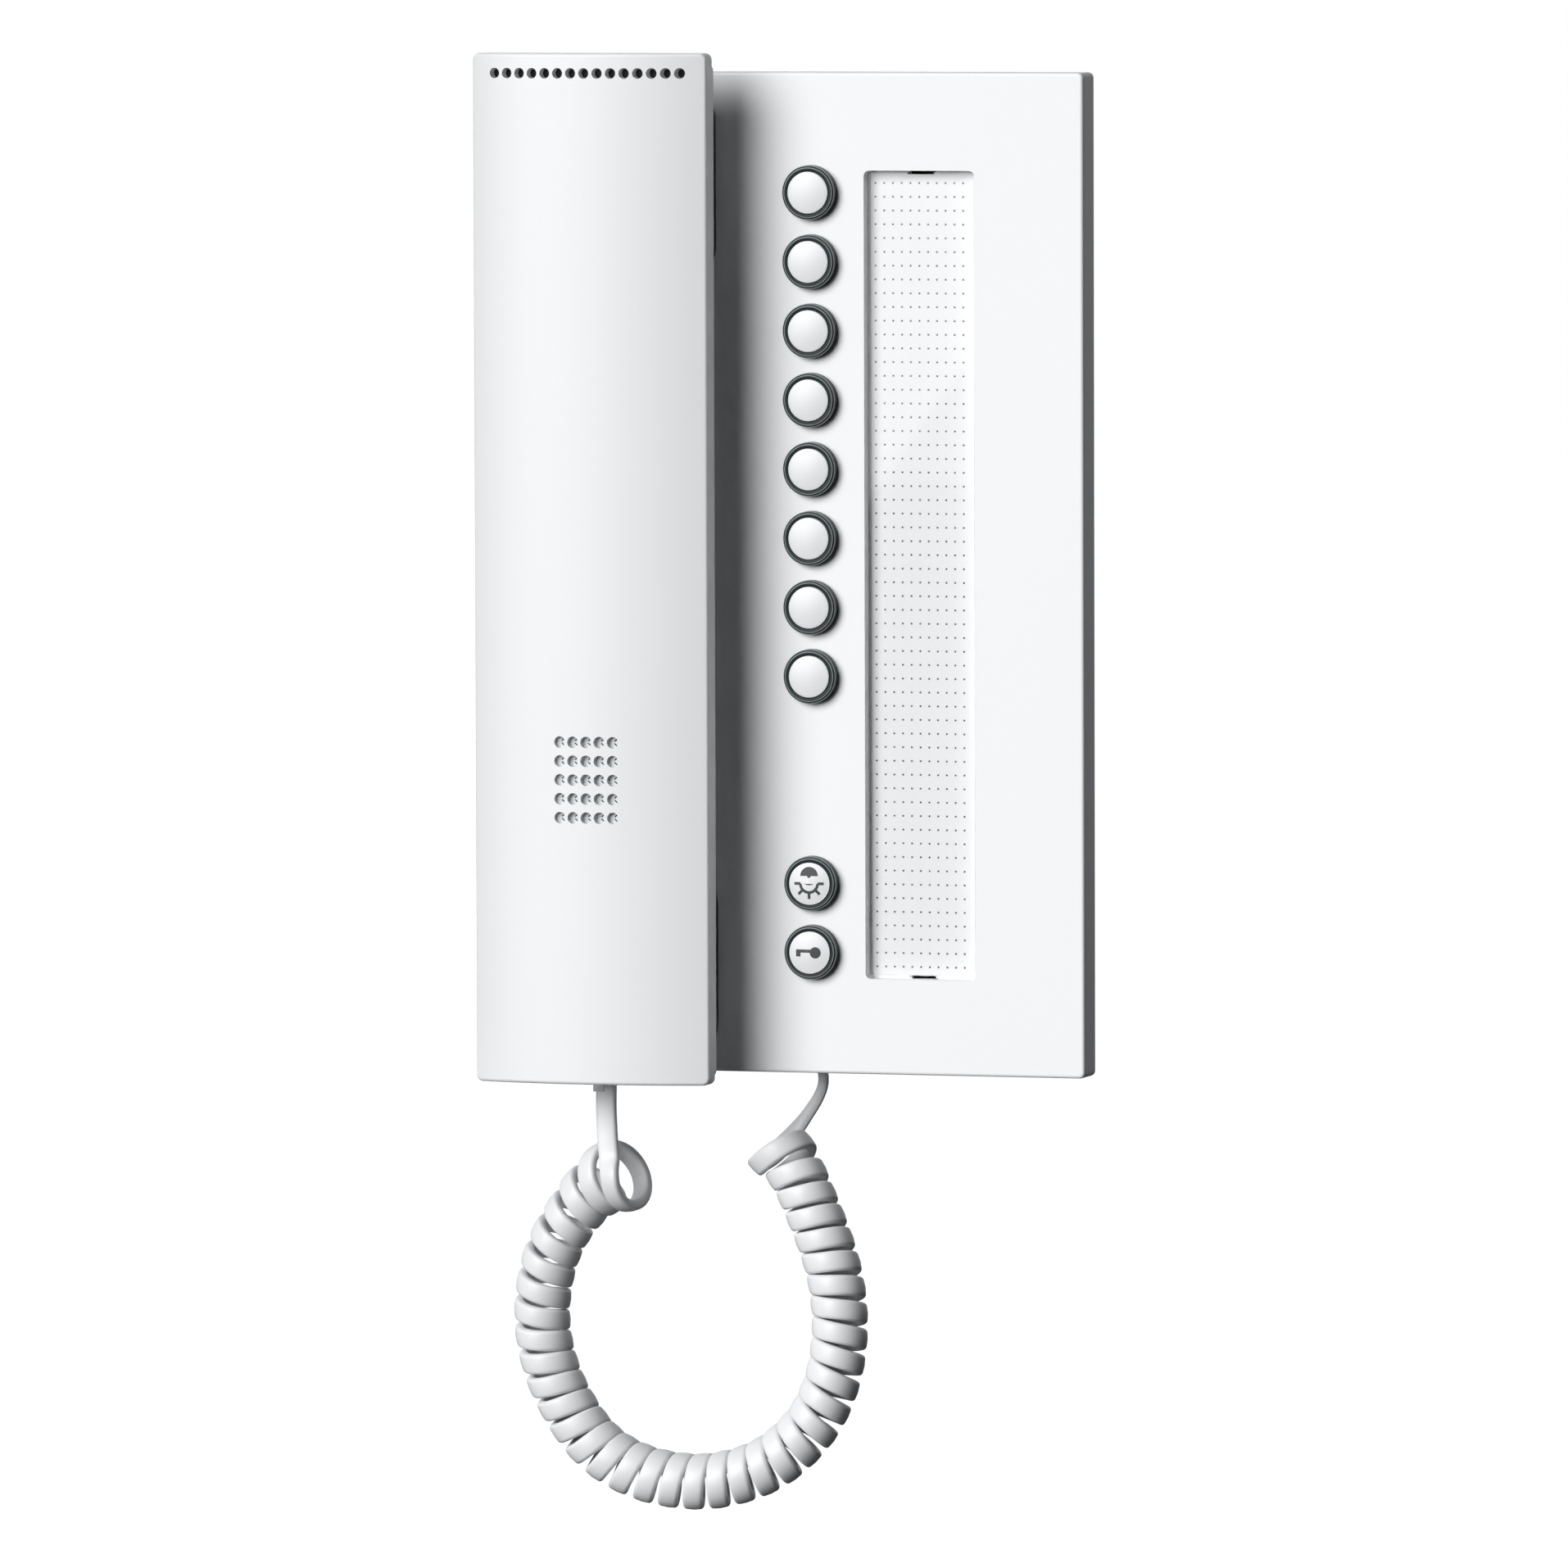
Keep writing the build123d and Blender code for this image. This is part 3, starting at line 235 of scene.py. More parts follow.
def headingsOf(line):
    # the line's direction at each of its points
    last = len(line) - 1
    spans = [(line[max(i - 1, 0)], line[min(i + 1, last)]) for i in range(last + 1)]
    return [(after - before).normalized() for before, after in spans]


def lineFrames(line):
    # lengths, directions and steady sideways vectors along a line of points
    lengths = [0.0]
    for first, second in zip(line, line[1:]):
        lengths.append(lengths[-1] + (second - first).length)
    headings = headingsOf(line)
    sideways = [headings[0].cross(Vector((0, 0, -1))).normalized()]
    for heading in headings[1:]:
        before = sideways[-1]
        sideways.append((before - heading * before.dot(heading)).normalized())
    return lengths, headings, sideways


def coilPoints(settings):
    # centre points of the curls and the way out of the coil at each
    line = splinePoints(coilRoute, settings["routeSteps"])
    lengths, headings, sideways = lineFrames(line)
    whole = lengths[-1]

    def grown(distance):
        fade, lastFade = settings["openedFade"], settings["lastOpenedFade"]
        first = settings["openedShare"] * fade * (1 - math.exp(-distance / fade))
        last = settings["lastOpenedShare"] * lastFade * math.exp(-(whole - distance) / lastFade)
        return distance - first - last

    count = int(settings["turns"] * settings["pointsPerTurn"])
    places, ways, low = [], [], 0
    for index in range(count + 1):
        target = grown(whole) * index / count
        distance = target
        for _ in range(settings["settleRounds"]):
            distance = target + distance - grown(distance)
        distance = min(distance, whole)
        while low < len(lengths) - 2 and lengths[low + 1] < distance:
            low += 1
        share = (distance - lengths[low]) / (lengths[low + 1] - lengths[low])
        spot = line[low].lerp(line[low + 1], share)
        heading = headings[low].lerp(headings[low + 1], share).normalized()
        side = sideways[low].lerp(sideways[low + 1], share)
        side = (side - heading * side.dot(heading)).normalized()
        across = heading.cross(side)
        angle = -2 * math.pi * settings["turns"] * index / count
        way = side * math.cos(angle) + across * math.sin(angle)
        begun = index / settings["pointsPerTurn"]
        left = settings["turns"] - begun
        extra = settings["firstLoopExtra"] * math.exp(-(begun / settings["firstLoopFade"]) ** 2)
        extra += settings["lastLoopExtra"] * math.exp(-(left / settings["lastLoopFade"]) ** 2)
        places.append(spot + way * (settings["coilRadius"] + extra))
        ways.append(way)
    return places, ways


def ribbonOutline(settings):
    # rounded ribbon section as (across, outwards), counter-clockwise
    halfWidth = settings["ribbonWidth"] / 2
    halfThick = settings["ribbonThickness"] / 2
    corner = settings["ribbonCorner"]
    steps = settings["cornerSteps"]
    outline = []
    for quarter, (cx, cy) in enumerate([(1, 1), (-1, 1), (-1, -1), (1, -1)]):
        for step in range(steps + 1):
            angle = math.pi / 2 * (quarter + step / steps)
            x = cx * (halfWidth - corner) + corner * math.cos(angle)
            y = cy * (halfThick - corner) + corner * math.sin(angle)
            outline.append((x, y))
    middle = [(0.0, halfThick + settings["outerCrown"])]
    return outline[:steps + 1] + middle + outline[steps + 1:]


def makeCord(settings):
    places, ways = coilPoints(settings)
    front = Vector(settings["firstFace"]).normalized()
    points = [Vector(p) for p in handsetLead] + places + [Vector(p) for p in baseLead]
    outward = [front] * len(handsetLead) + ways
    outward += [Vector(face).normalized() for face in baseLeadFaces]
    centre = splinePoints(points, settings["ribbonSteps"])
    beside = [point + way * mm for point, way in zip(points, outward)]
    outer = splinePoints(beside, settings["ribbonSteps"])
    outline = ribbonOutline(settings)
    sides, last = len(outline), len(centre) - 1
    corners, faces = [], []
    for middle, beyond, along in zip(centre, outer, headingsOf(centre)):
        out = beyond - middle
        out = (out - along * out.dot(along)).normalized()
        across = along.cross(out)
        corners += [middle + across * x + out * y for x, y in outline]
    for ring in range(last):
        for side in range(sides):
            after = (side + 1) % sides
            first, second = ring * sides, (ring + 1) * sides
            faces.append((first + side, first + after, second + after, second + side))
    faces.append(tuple(reversed(range(sides))))
    faces.append(tuple(range(last * sides, (last + 1) * sides)))
    mesh = meshFrom("curlyCord", corners, faces)
    faceOutwards(mesh)
    return newObject("curlyCord", mesh), centre


print("winding the curly cord")
curlyCord, cordLine = makeCord(cordSettings)
print("cord length", round(sum((b - a).length for a, b in zip(cordLine, cordLine[1:])), 4))


# shader groups: effects that several finishes share
effectSettings = {
    "grainDetail": 3.0,
    "grainRoughness": 0.6,
    "driftDetail": 2.0,
    "lineDetail": 2.0,
    "lineStretch": (1.0, 1.0, 0.06),  # the lines run up and down
    "trackWidth": 0.09,
}


def newGroup(name, inputs, outputs):
    group = bpy.data.node_groups.new(name, "ShaderNodeTree")
    for label, kind, value in inputs:
        socket = group.interface.new_socket(name=label, in_out="INPUT", socket_type=kind)
        if value is not None:
            socket.default_value = value
    for label, kind in outputs:
        group.interface.new_socket(name=label, in_out="OUTPUT", socket_type=kind)
    start = group.nodes.new("NodeGroupInput")
    end = group.nodes.new("NodeGroupOutput")
    return group, start, end


def feed(tree, socket, value):
    # a number is set on the socket, and another node's output is linked to it
    if isinstance(value, (int, float)):
        socket.default_value = value
    else:
        tree.links.new(value, socket)


def mathNode(tree, operation, *values):
    node = tree.nodes.new("ShaderNodeMath")
    node.operation = operation
    for socket, value in zip(node.inputs, values):
        feed(tree, socket, value)
    return node.outputs[0]


def rangeNode(tree, value, low, high):
    # maps the span in low onto the span in high
    node = tree.nodes.new("ShaderNodeMapRange")
    labels = ("Value", "From Min", "From Max", "To Min", "To Max")
    for label, end in zip(labels, (value, *low, *high)):
        feed(tree, node.inputs[label], end)
    return node.outputs["Result"]


def noiseNode(tree, vector, scale, detail, roughness=0.5):
    node = tree.nodes.new("ShaderNodeTexNoise")
    labels = ("Vector", "Scale", "Detail", "Roughness")
    for label, value in zip(labels, (vector, scale, detail, roughness)):
        feed(tree, node.inputs[label], value)
    return node.outputs["Fac"]


def makeGrainGroup(settings):
    # fine spark-eroded grain of a moulded part, with slow drifts of tone
    inputs = [
        ("Vector", "NodeSocketVector", None),
        ("Grain Scale", "NodeSocketFloat", 2500.0),
        ("Drift Scale", "NodeSocketFloat", 30.0),
        ("Grain Share", "NodeSocketFloat", 0.5),
    ]
    outputs = [("Tone", "NodeSocketFloat"), ("Height", "NodeSocketFloat")]
    group, start, end = newGroup("mouldedGrain", inputs, outputs)
    given = start.outputs
    detail, roughness = settings["grainDetail"], settings["grainRoughness"]
    grain = noiseNode(group, given["Vector"], given["Grain Scale"], detail, roughness)
    drift = noiseNode(group, given["Vector"], given["Drift Scale"], settings["driftDetail"])
    rest = mathNode(group, "SUBTRACT", 1.0, given["Grain Share"])
    fine = mathNode(group, "MULTIPLY", grain, given["Grain Share"])
    slow = mathNode(group, "MULTIPLY", drift, rest)
    mixed = mathNode(group, "ADD", fine, slow)
    group.links.new(mixed, end.inputs["Tone"])
    group.links.new(grain, end.inputs["Height"])
    return group


def makeBrushGroup(settings):
    # long fine scratches of rolled or turned metal
    inputs = [("Vector", "NodeSocketVector", None), ("Line Scale", "NodeSocketFloat", 900.0)]
    outputs = [("Tone", "NodeSocketFloat"), ("Height", "NodeSocketFloat")]
    group, start, end = newGroup("metalLines", inputs, outputs)
    stretch = group.nodes.new("ShaderNodeMapping")
    stretch.inputs["Scale"].default_value = settings["lineStretch"]
    group.links.new(start.outputs["Vector"], stretch.inputs["Vector"])
    scale = start.outputs["Line Scale"]
    lines = noiseNode(group, stretch.outputs["Vector"], scale, settings["lineDetail"])
    group.links.new(lines, end.inputs["Tone"])
    group.links.new(lines, end.inputs["Height"])
    return group


def makeTrackGroup(settings):
    # copper tracks under the lacquer of a circuit board
    inputs = [("Vector", "NodeSocketVector", None), ("Track Scale", "NodeSocketFloat", 400.0)]
    outputs = [("Tracks", "NodeSocketFloat"), ("Height", "NodeSocketFloat")]
    group, start, end = newGroup("boardTracks", inputs, outputs)
    cells = group.nodes.new("ShaderNodeTexVoronoi")
    cells.distance = "MANHATTAN"
    cells.feature = "DISTANCE_TO_EDGE"
    cells.voronoi_dimensions = "3D"
    group.links.new(start.outputs["Vector"], cells.inputs["Vector"])
    group.links.new(start.outputs["Track Scale"], cells.inputs["Scale"])
    distance = cells.outputs["Distance"]
    tracks = mathNode(group, "LESS_THAN", distance, settings["trackWidth"])
    group.links.new(tracks, end.inputs["Tracks"])
    group.links.new(tracks, end.inputs["Height"])
    return group


grainGroup = makeGrainGroup(effectSettings)
brushGroup = makeBrushGroup(effectSettings)
trackGroup = makeTrackGroup(effectSettings)


# finishes, one dictionary each
finishes = {
    "shellWhite": {
        "group": grainGroup, "dark": (0.83, 0.84, 0.85), "light": (0.885, 0.892, 0.90),
        "values": {"Grain Scale": 2600.0, "Drift Scale": 14.0, "Grain Share": 0.45},
        "roughness": (0.44, 0.56), "bump": 0.10, "bumpDepth": 0.00005, "specular": 0.35,
    },
    "handsetWhite": {
        "group": grainGroup, "dark": (0.755, 0.767, 0.78), "light": (0.81, 0.82, 0.83),
        "values": {"Grain Scale": 2600.0, "Drift Scale": 16.0, "Grain Share": 0.5},
        "roughness": (0.38, 0.5), "bump": 0.14, "bumpDepth": 0.00005, "specular": 0.45,
    },
    "capWhite": {
        "group": grainGroup, "dark": (0.71, 0.72, 0.735), "light": (0.755, 0.763, 0.775),
        "values": {"Grain Scale": 1500.0, "Drift Scale": 60.0, "Grain Share": 0.3},
        "roughness": (0.26, 0.34), "bump": 0.04, "bumpDepth": 0.00004, "specular": 0.4,
    },
    "ringDark": {
        "group": grainGroup, "dark": (0.015, 0.022, 0.023), "light": (0.026, 0.035, 0.037),
        "values": {"Grain Scale": 1200.0, "Drift Scale": 90.0, "Grain Share": 0.4},
        "roughness": (0.20, 0.30), "bump": 0.04, "bumpDepth": 0.00004, "specular": 0.13,
    },
    # painted highlight: a lighter grey for thin beads on the rings' outer edges, standing in
    # for the bright reflections there
    "ringHighlightPaint": {
        "group": grainGroup, "dark": (0.17, 0.20, 0.205), "light": (0.27, 0.31, 0.315),
        "values": {"Grain Scale": 900.0, "Drift Scale": 120.0, "Grain Share": 0.5},
        "roughness": (0.25, 0.4), "bump": 0.04, "bumpDepth": 0.00003, "specular": 0.5,
    },
    "printDark": {
        "group": grainGroup, "dark": (0.020, 0.024, 0.026), "light": (0.040, 0.046, 0.048),
        "values": {"Grain Scale": 3000.0, "Drift Scale": 200.0, "Grain Share": 0.7},
        "roughness": (0.42, 0.58), "bump": 0.05, "bumpDepth": 0.00003, "specular": 0.35,
    },
    "paperWhite": {
        "group": grainGroup, "dark": (0.80, 0.806, 0.815), "light": (0.85, 0.855, 0.86),
        "values": {"Grain Scale": 1800.0, "Drift Scale": 40.0, "Grain Share": 0.6},
        "roughness": (0.7, 0.85), "bump": 0.12, "bumpDepth": 0.00004, "specular": 0.3,
    },
    "cordWhite": {
        "group": grainGroup, "dark": (0.75, 0.76, 0.775), "light": (0.81, 0.818, 0.83),
        "values": {"Grain Scale": 700.0, "Drift Scale": 90.0, "Grain Share": 0.35},
        "roughness": (0.36, 0.46), "bump": 0.05, "bumpDepth": 0.00005, "specular": 0.35,
    },
    "innerGrey": {
        "group": grainGroup, "dark": (0.52, 0.54, 0.55), "light": (0.60, 0.62, 0.63),
        "values": {"Grain Scale": 1600.0, "Drift Scale": 25.0, "Grain Share": 0.5},
        "roughness": (0.45, 0.6), "bump": 0.12, "bumpDepth": 0.00005, "specular": 0.4,
    },
    "blackPlastic": {
        "group": grainGroup, "dark": (0.016, 0.016, 0.018), "light": (0.032, 0.032, 0.035),
        "values": {"Grain Scale": 1800.0, "Drift Scale": 50.0, "Grain Share": 0.5},
        "roughness": (0.38, 0.55), "bump": 0.15, "bumpDepth": 0.00005, "specular": 0.4,
    },
    "softRubber": {
        "group": grainGroup, "dark": (0.022, 0.022, 0.023), "light": (0.042, 0.042, 0.043),
        "values": {"Grain Scale": 1000.0, "Drift Scale": 70.0, "Grain Share": 0.5},
        "roughness": (0.72, 0.9), "bump": 0.2, "bumpDepth": 0.00006, "specular": 0.25,
    },
    "steel": {
        "group": brushGroup, "dark": (0.50, 0.50, 0.50), "light": (0.66, 0.66, 0.65),
        "values": {"Line Scale": 1400.0}, "metallic": 1.0,
        "roughness": (0.26, 0.42), "bump": 0.08, "bumpDepth": 0.00003, "specular": 0.5,
    },
    "aluminium": {
        "group": brushGroup, "dark": (0.68, 0.69, 0.70), "light": (0.82, 0.83, 0.84),
        "values": {"Line Scale": 1000.0}, "metallic": 1.0,
        "roughness": (0.3, 0.45), "bump": 0.06, "bumpDepth": 0.00003, "specular": 0.5,
    },
    "boardGreen": {
        "group": trackGroup, "dark": (0.020, 0.085, 0.042), "light": (0.045, 0.16, 0.075),
        "values": {"Track Scale": 330.0}, "tone": "Tracks",
        "roughness": (0.3, 0.4), "bump": 0.3, "bumpDepth": 0.00003, "specular": 0.5,
    },
    "clearPlastic": {
        "group": grainGroup, "dark": (0.96, 0.965, 0.97), "light": (0.985, 0.99, 0.995),
        "values": {"Grain Scale": 500.0, "Drift Scale": 20.0, "Grain Share": 0.3},
        "roughness": (0.015, 0.03), "bump": 0.0, "bumpDepth": 0.00002, "specular": 0.5,
        "transmission": 1.0, "ior": 1.49,
    },
    "plugClear": {
        "group": grainGroup, "dark": (0.84, 0.85, 0.86), "light": (0.90, 0.91, 0.92),
        "values": {"Grain Scale": 600.0, "Drift Scale": 80.0, "Grain Share": 0.3},
        "roughness": (0.16, 0.24), "bump": 0.02, "bumpDepth": 0.00003, "specular": 0.5,
        "transmission": 0.35, "ior": 1.49,
    },
}


def mixShaders(tree, factor, first, second):
    either = tree.nodes.new("ShaderNodeMixShader")
    for socket, value in zip(either.inputs, (factor, first, second)):
        feed(tree, socket, value)
    return either.outputs[0]


def makeFinish(name, settings):
    material = bpy.data.materials.new(name)
    material.use_nodes = True
    tree = material.node_tree
    shader = tree.nodes["Principled BSDF"]
    output = tree.nodes["Material Output"]
    place = tree.nodes.new("ShaderNodeTexCoord")
    effect = tree.nodes.new("ShaderNodeGroup")
    effect.node_tree = settings["group"]
    tree.links.new(place.outputs["Object"], effect.inputs["Vector"])
    for label, value in settings["values"].items():
        effect.inputs[label].default_value = value
    tone = effect.outputs[settings.get("tone", "Tone")]
    colours = tree.nodes.new("ShaderNodeMix")
    colours.data_type = "RGBA"
    colours.inputs["A"].default_value = (*settings["dark"], 1)
    colours.inputs["B"].default_value = (*settings["light"], 1)
    tree.links.new(tone, colours.inputs["Factor"])
    tree.links.new(colours.outputs["Result"], shader.inputs["Base Color"])
    gloss = rangeNode(tree, tone, (0.0, 1.0), settings["roughness"])
    tree.links.new(gloss, shader.inputs["Roughness"])
    shader.inputs["Specular IOR Level"].default_value = settings["specular"]
    shader.inputs["Metallic"].default_value = settings.get("metallic", 0.0)
    shader.inputs["Transmission Weight"].default_value = settings.get("transmission", 0.0)
    shader.inputs["IOR"].default_value = settings.get("ior", 1.5)
    if settings["bump"]:
        bump = tree.nodes.new("ShaderNodeBump")
        bump.inputs["Strength"].default_value = settings["bump"]
        bump.inputs["Distance"].default_value = settings["bumpDepth"]
        tree.links.new(effect.outputs["Height"], bump.inputs["Height"])
        tree.links.new(bump.outputs["Normal"], shader.inputs["Normal"])
    if settings.get("transmission"):
        # light reaches what lies under the clear piece
        path = tree.nodes.new("ShaderNodeLightPath").outputs
        through = tree.nodes.new("ShaderNodeBsdfTransparent")
        unseen = mathNode(tree, "MAXIMUM", path["Is Shadow Ray"], path["Is Diffuse Ray"])
        mixed = mixShaders(tree, unseen, shader.outputs[0], through.outputs[0])
        tree.links.new(mixed, output.inputs["Surface"])
    return material


print("mixing the finishes")
materials = {name: makeFinish(name, settings) for name, settings in finishes.items()}

slotFinishes = {
    "white_shell": "shellWhite",
    "inner_plastic": "innerGrey",
    "board": "boardGreen",
    "steel": "steel",
    "black_plastic": "blackPlastic",
    "aluminium": "aluminium",
    "paper": "paperWhite",
    "clear": "clearPlastic",
    "dark_print": "printDark",
    "rubber": "softRubber",
    "clear_plug": "plugClear",
    "cord": "cordWhite",
    "white_cap": "capWhite",
    "dark_ring": "ringDark",
}
for node in nodes.values():
    slotName = node.material_slots[0].material.name
    node.material_slots[0].material = materials[slotFinishes[slotName]]

for shell in ("handset_front_shell", "handset_back_shell"):
    nodes[shell].material_slots[0].material = materials["handsetWhite"]

curlyCord.data.materials.append(materials["cordWhite"])
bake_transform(curlyCord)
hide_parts("cord_handset_lead", "cord_coil", "cord_base_lead")


# Geometry Nodes: one thing repeated on an upright grid
def makeGridTree():
    tree = bpy.data.node_groups.new("repeatOnGrid", "GeometryNodeTree")
    tree.is_modifier = True
    sockets = tree.interface
    for way in ("INPUT", "OUTPUT"):
        sockets.new_socket(name="Geometry", in_out=way, socket_type="NodeSocketGeometry")
    for label, kind in [
        ("Columns", "NodeSocketInt"), ("Rows", "NodeSocketInt"),
        ("Column Pitch", "NodeSocketFloat"), ("Row Pitch", "NodeSocketFloat"),
        ("Gap Row", "NodeSocketInt"), ("Gap Rows", "NodeSocketInt"),
        ("Corner", "NodeSocketVector"), ("Finish", "NodeSocketMaterial"),
    ]:
        sockets.new_socket(name=label, in_out="INPUT", socket_type=kind)
    start = tree.nodes.new("NodeGroupInput")
    end = tree.nodes.new("NodeGroupOutput")
    given = start.outputs
    index = tree.nodes.new("GeometryNodeInputIndex").outputs[0]
    column = mathNode(tree, "MODULO", index, given["Columns"])
    row = mathNode(tree, "FLOOR", mathNode(tree, "DIVIDE", index, given["Columns"]))
    corner = tree.nodes.new("ShaderNodeSeparateXYZ")
    tree.links.new(given["Corner"], corner.inputs[0])
    spot = tree.nodes.new("ShaderNodeCombineXYZ")
    across = mathNode(tree, "MULTIPLY_ADD", column, given["Column Pitch"], corner.outputs[0])
    drop = mathNode(tree, "MULTIPLY", row, given["Row Pitch"])
    tree.links.new(across, spot.inputs[0])
    tree.links.new(corner.outputs[1], spot.inputs[1])
    tree.links.new(mathNode(tree, "SUBTRACT", corner.outputs[2], drop), spot.inputs[2])
    points = tree.nodes.new("GeometryNodePoints")
    count = mathNode(tree, "MULTIPLY", given["Columns"], given["Rows"])
    tree.links.new(count, points.inputs["Count"])
    tree.links.new(spot.outputs[0], points.inputs["Position"])
    # rows are whole numbers, so half a row tells the kept ones from the gap's
    gapEnd = mathNode(tree, "ADD", given["Gap Row"], given["Gap Rows"])
    before = mathNode(tree, "LESS_THAN", row, mathNode(tree, "SUBTRACT", given["Gap Row"], 0.5))
    after = mathNode(tree, "GREATER_THAN", row, mathNode(tree, "SUBTRACT", gapEnd, 0.5))
    kept = mathNode(tree, "MAXIMUM", before, after)
    copies = tree.nodes.new("GeometryNodeInstanceOnPoints")
    tree.links.new(points.outputs[0], copies.inputs["Points"])
    tree.links.new(given["Geometry"], copies.inputs["Instance"])
    tree.links.new(kept, copies.inputs["Selection"])
    real = tree.nodes.new("GeometryNodeRealizeInstances")
    finish = tree.nodes.new("GeometryNodeSetMaterial")
    tree.links.new(copies.outputs[0], real.inputs[0])
    tree.links.new(real.outputs[0], finish.inputs["Geometry"])
    tree.links.new(given["Finish"], finish.inputs["Material"])
    tree.links.new(finish.outputs[0], end.inputs[0])
    return tree


gridTree = makeGridTree()


def repeated(name, single, values, finish, smooth):
    # runs the tree on one copy of the thing and keeps the plain mesh
    piece = newObject(name, single)
    modifier = piece.modifiers.new("repeat", "NODES")
    modifier.node_group = gridTree
    given = {**values, "Finish": materials[finish]}
    for item in gridTree.interface.items_tree:
        if item.in_out == "INPUT" and item.name in given:
            modifier[item.identifier] = given[item.name]
    made = evaluatedMesh(piece)
    piece.modifiers.clear()
    piece.data = made
    made.name = name
    smoothFaces(made, smooth)
    return piece


def gridValues(settings, y):
    # the tree's values for a grid without a gap, round its middle
    halfWidth = settings["columnPitch"] * (settings["columns"] - 1) / 2
    halfHeight = settings["rowPitch"] * (settings["rows"] - 1) / 2
    return {
        "Columns": settings["columns"], "Rows": settings["rows"],
        "Column Pitch": settings["columnPitch"], "Row Pitch": settings["rowPitch"],
        "Corner": (settings["middleX"] - halfWidth, y, settings["middleZ"] + halfHeight),
    }


# dark stepped rings round the buttons
ringSettings = {
    "x": 4.7 * mm,
    "topZ": 82.7 * mm,
    "pitch": 15.0 * mm,
    "coverFace": -24.0 * mm,
    "callButtons": 8,
    "gapRows": 2,  # empty places between the call buttons and the two below
    "rows": 12,
    "segments": 72,
    # radius and rise over the cover face, in mm, up the bore, over the lip and down the steps
    "profile": [
        (4.66, -2.55), (4.66, 2.28), (4.70, 2.40), (4.79, 2.46), (5.30, 2.48), (5.40, 2.45),
        (5.46, 2.36), (5.48, 2.24), (5.49, 2.16), (5.52, 2.11), (5.57, 2.10), (5.78, 2.12),
        (5.86, 2.08), (5.90, 1.98), (5.92, 1.80), (5.94, 1.20), (5.97, 0.60), (5.99, 0.01),
        (5.43, 0.01), (5.43, -2.55),
    ],
    "edges": [  # the two painted highlights: lighter grey beads on the lip's and the step's outer edges, standing in for reflections
        [
            (5.28, 2.46), (5.30, 2.50), (5.37, 2.51), (5.44, 2.47),
            (5.49, 2.38), (5.48, 2.33), (5.36, 2.40),
        ],
        [
            (5.76, 2.10), (5.78, 2.14), (5.84, 2.13), (5.90, 2.06),
            (5.92, 1.98), (5.88, 1.97), (5.82, 2.05),
        ],
    ],
}


def turnedMesh(name, profile, segments):
    # profile of (radius, rise) in mm, turned about the Y axis, rising towards -Y;
    # it either closes on itself or starts and ends on the axis, at radius 0
    bm = bmesh.new()
    rings = []
    for radius, rise in profile:
        ring = []
        for step in range(segments if radius else 1):
            angle = 2 * math.pi * step / segments
            spot = (radius * mm * math.cos(angle), -rise * mm, radius * mm * math.sin(angle))
            ring.append(bm.verts.new(spot))
        rings.append(ring)
    pairs = list(zip(rings, rings[1:]))
    if len(rings[0]) > 1:
        pairs.append((rings[-1], rings[0]))
    for first, second in pairs:
        for step in range(segments):
            after = (step + 1) % segments
            corners = [first[step % len(first)], first[after % len(first)]]
            corners += [second[after % len(second)], second[step % len(second)]]
            bm.faces.new(list(dict.fromkeys(corners)))
    bmesh.ops.recalc_face_normals(bm, faces=bm.faces)
    return meshOf(name, bm)


def ringRow(name, profile, finish, settings):
    mesh = turnedMesh(f"{name}Single", profile, settings["segments"])
    return repeated(name, mesh, {
        "Columns": 1, "Rows": settings["rows"], "Row Pitch": settings["pitch"],
        "Gap Row": settings["callButtons"], "Gap Rows": settings["gapRows"],
        "Corner": (settings["x"], settings["coverFace"], settings["topZ"]),
    }, finish, True)


print("turning the button rings")
callNumbers = range(1, ringSettings["callButtons"] + 1)
callRings = [f"call_ring_{number}" for number in callNumbers]
buttonRings = ringRow("buttonRings", ringSettings["profile"], "ringDark", ringSettings)
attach(buttonRings, "base")
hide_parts(*callRings, "light_ring", "door_ring")
# the edge beads carry the lighter grey of a painted highlight on each ring
for number, profile in enumerate(ringSettings["edges"], 1):
    edge = ringRow(f"ringEdges{number}", profile, "ringHighlightPaint", ringSettings)
    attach(edge, "base")


# smooth call buttons, each on its own body
capSettings = {
    "segments": 72,
    "profile": [  # radius and rise over the cover face, in mm
        (0, 3.0), (0.6, 2.994), (1.4, 2.967), (2.3, 2.912), (3.2, 2.829), (3.9, 2.746),
        (4.3, 2.69), (4.45, 2.655), (4.54, 2.58), (4.57, 2.45), (4.575, 1.5), (4.575, -2.6),
        (5.1, -2.66), (5.1, -3.7), (1.6, -3.75), (1.6, -8.0), (0, -8.0),
    ],
}

print("turning the call buttons")
for number in callNumbers:
    name = f"callCap{number}"
    cap = newObject(name, turnedMesh(name, capSettings["profile"], capSettings["segments"]))
    height = ringSettings["topZ"] - (number - 1) * ringSettings["pitch"]
    spot = (ringSettings["x"], ringSettings["coverFace"], height)
    cap.data.transform(Matrix.Translation(spot))
    smoothFaces(cap.data)
    cap.data.materials.append(materials["capWhite"])
    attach(cap, f"call_button_{number}")
    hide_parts(f"call_button_{number}")


# printed dots on the name strip
dotSettings = {
    "columns": 11,
    "rows": 58,
    "columnPitch": 1.98 * mm,
    "rowPitch": 2.985 * mm,
    "radius": 0.23 * mm,
    "height": 0.03 * mm,
    "sides": 10,
    "middleX": 28.35 * mm,
    "middleZ": -0.3 * mm,
}


def dotMesh(settings):
    bm = bmesh.new()
    bmesh.ops.create_cone(
        bm, cap_ends=True, segments=settings["sides"], radius1=settings["radius"],
        radius2=settings["radius"], depth=settings["height"],
    )
    bmesh.ops.rotate(bm, verts=bm.verts, matrix=Matrix.Rotation(math.pi / 2, 3, "X"))
    return meshOf("dotMesh", bm)


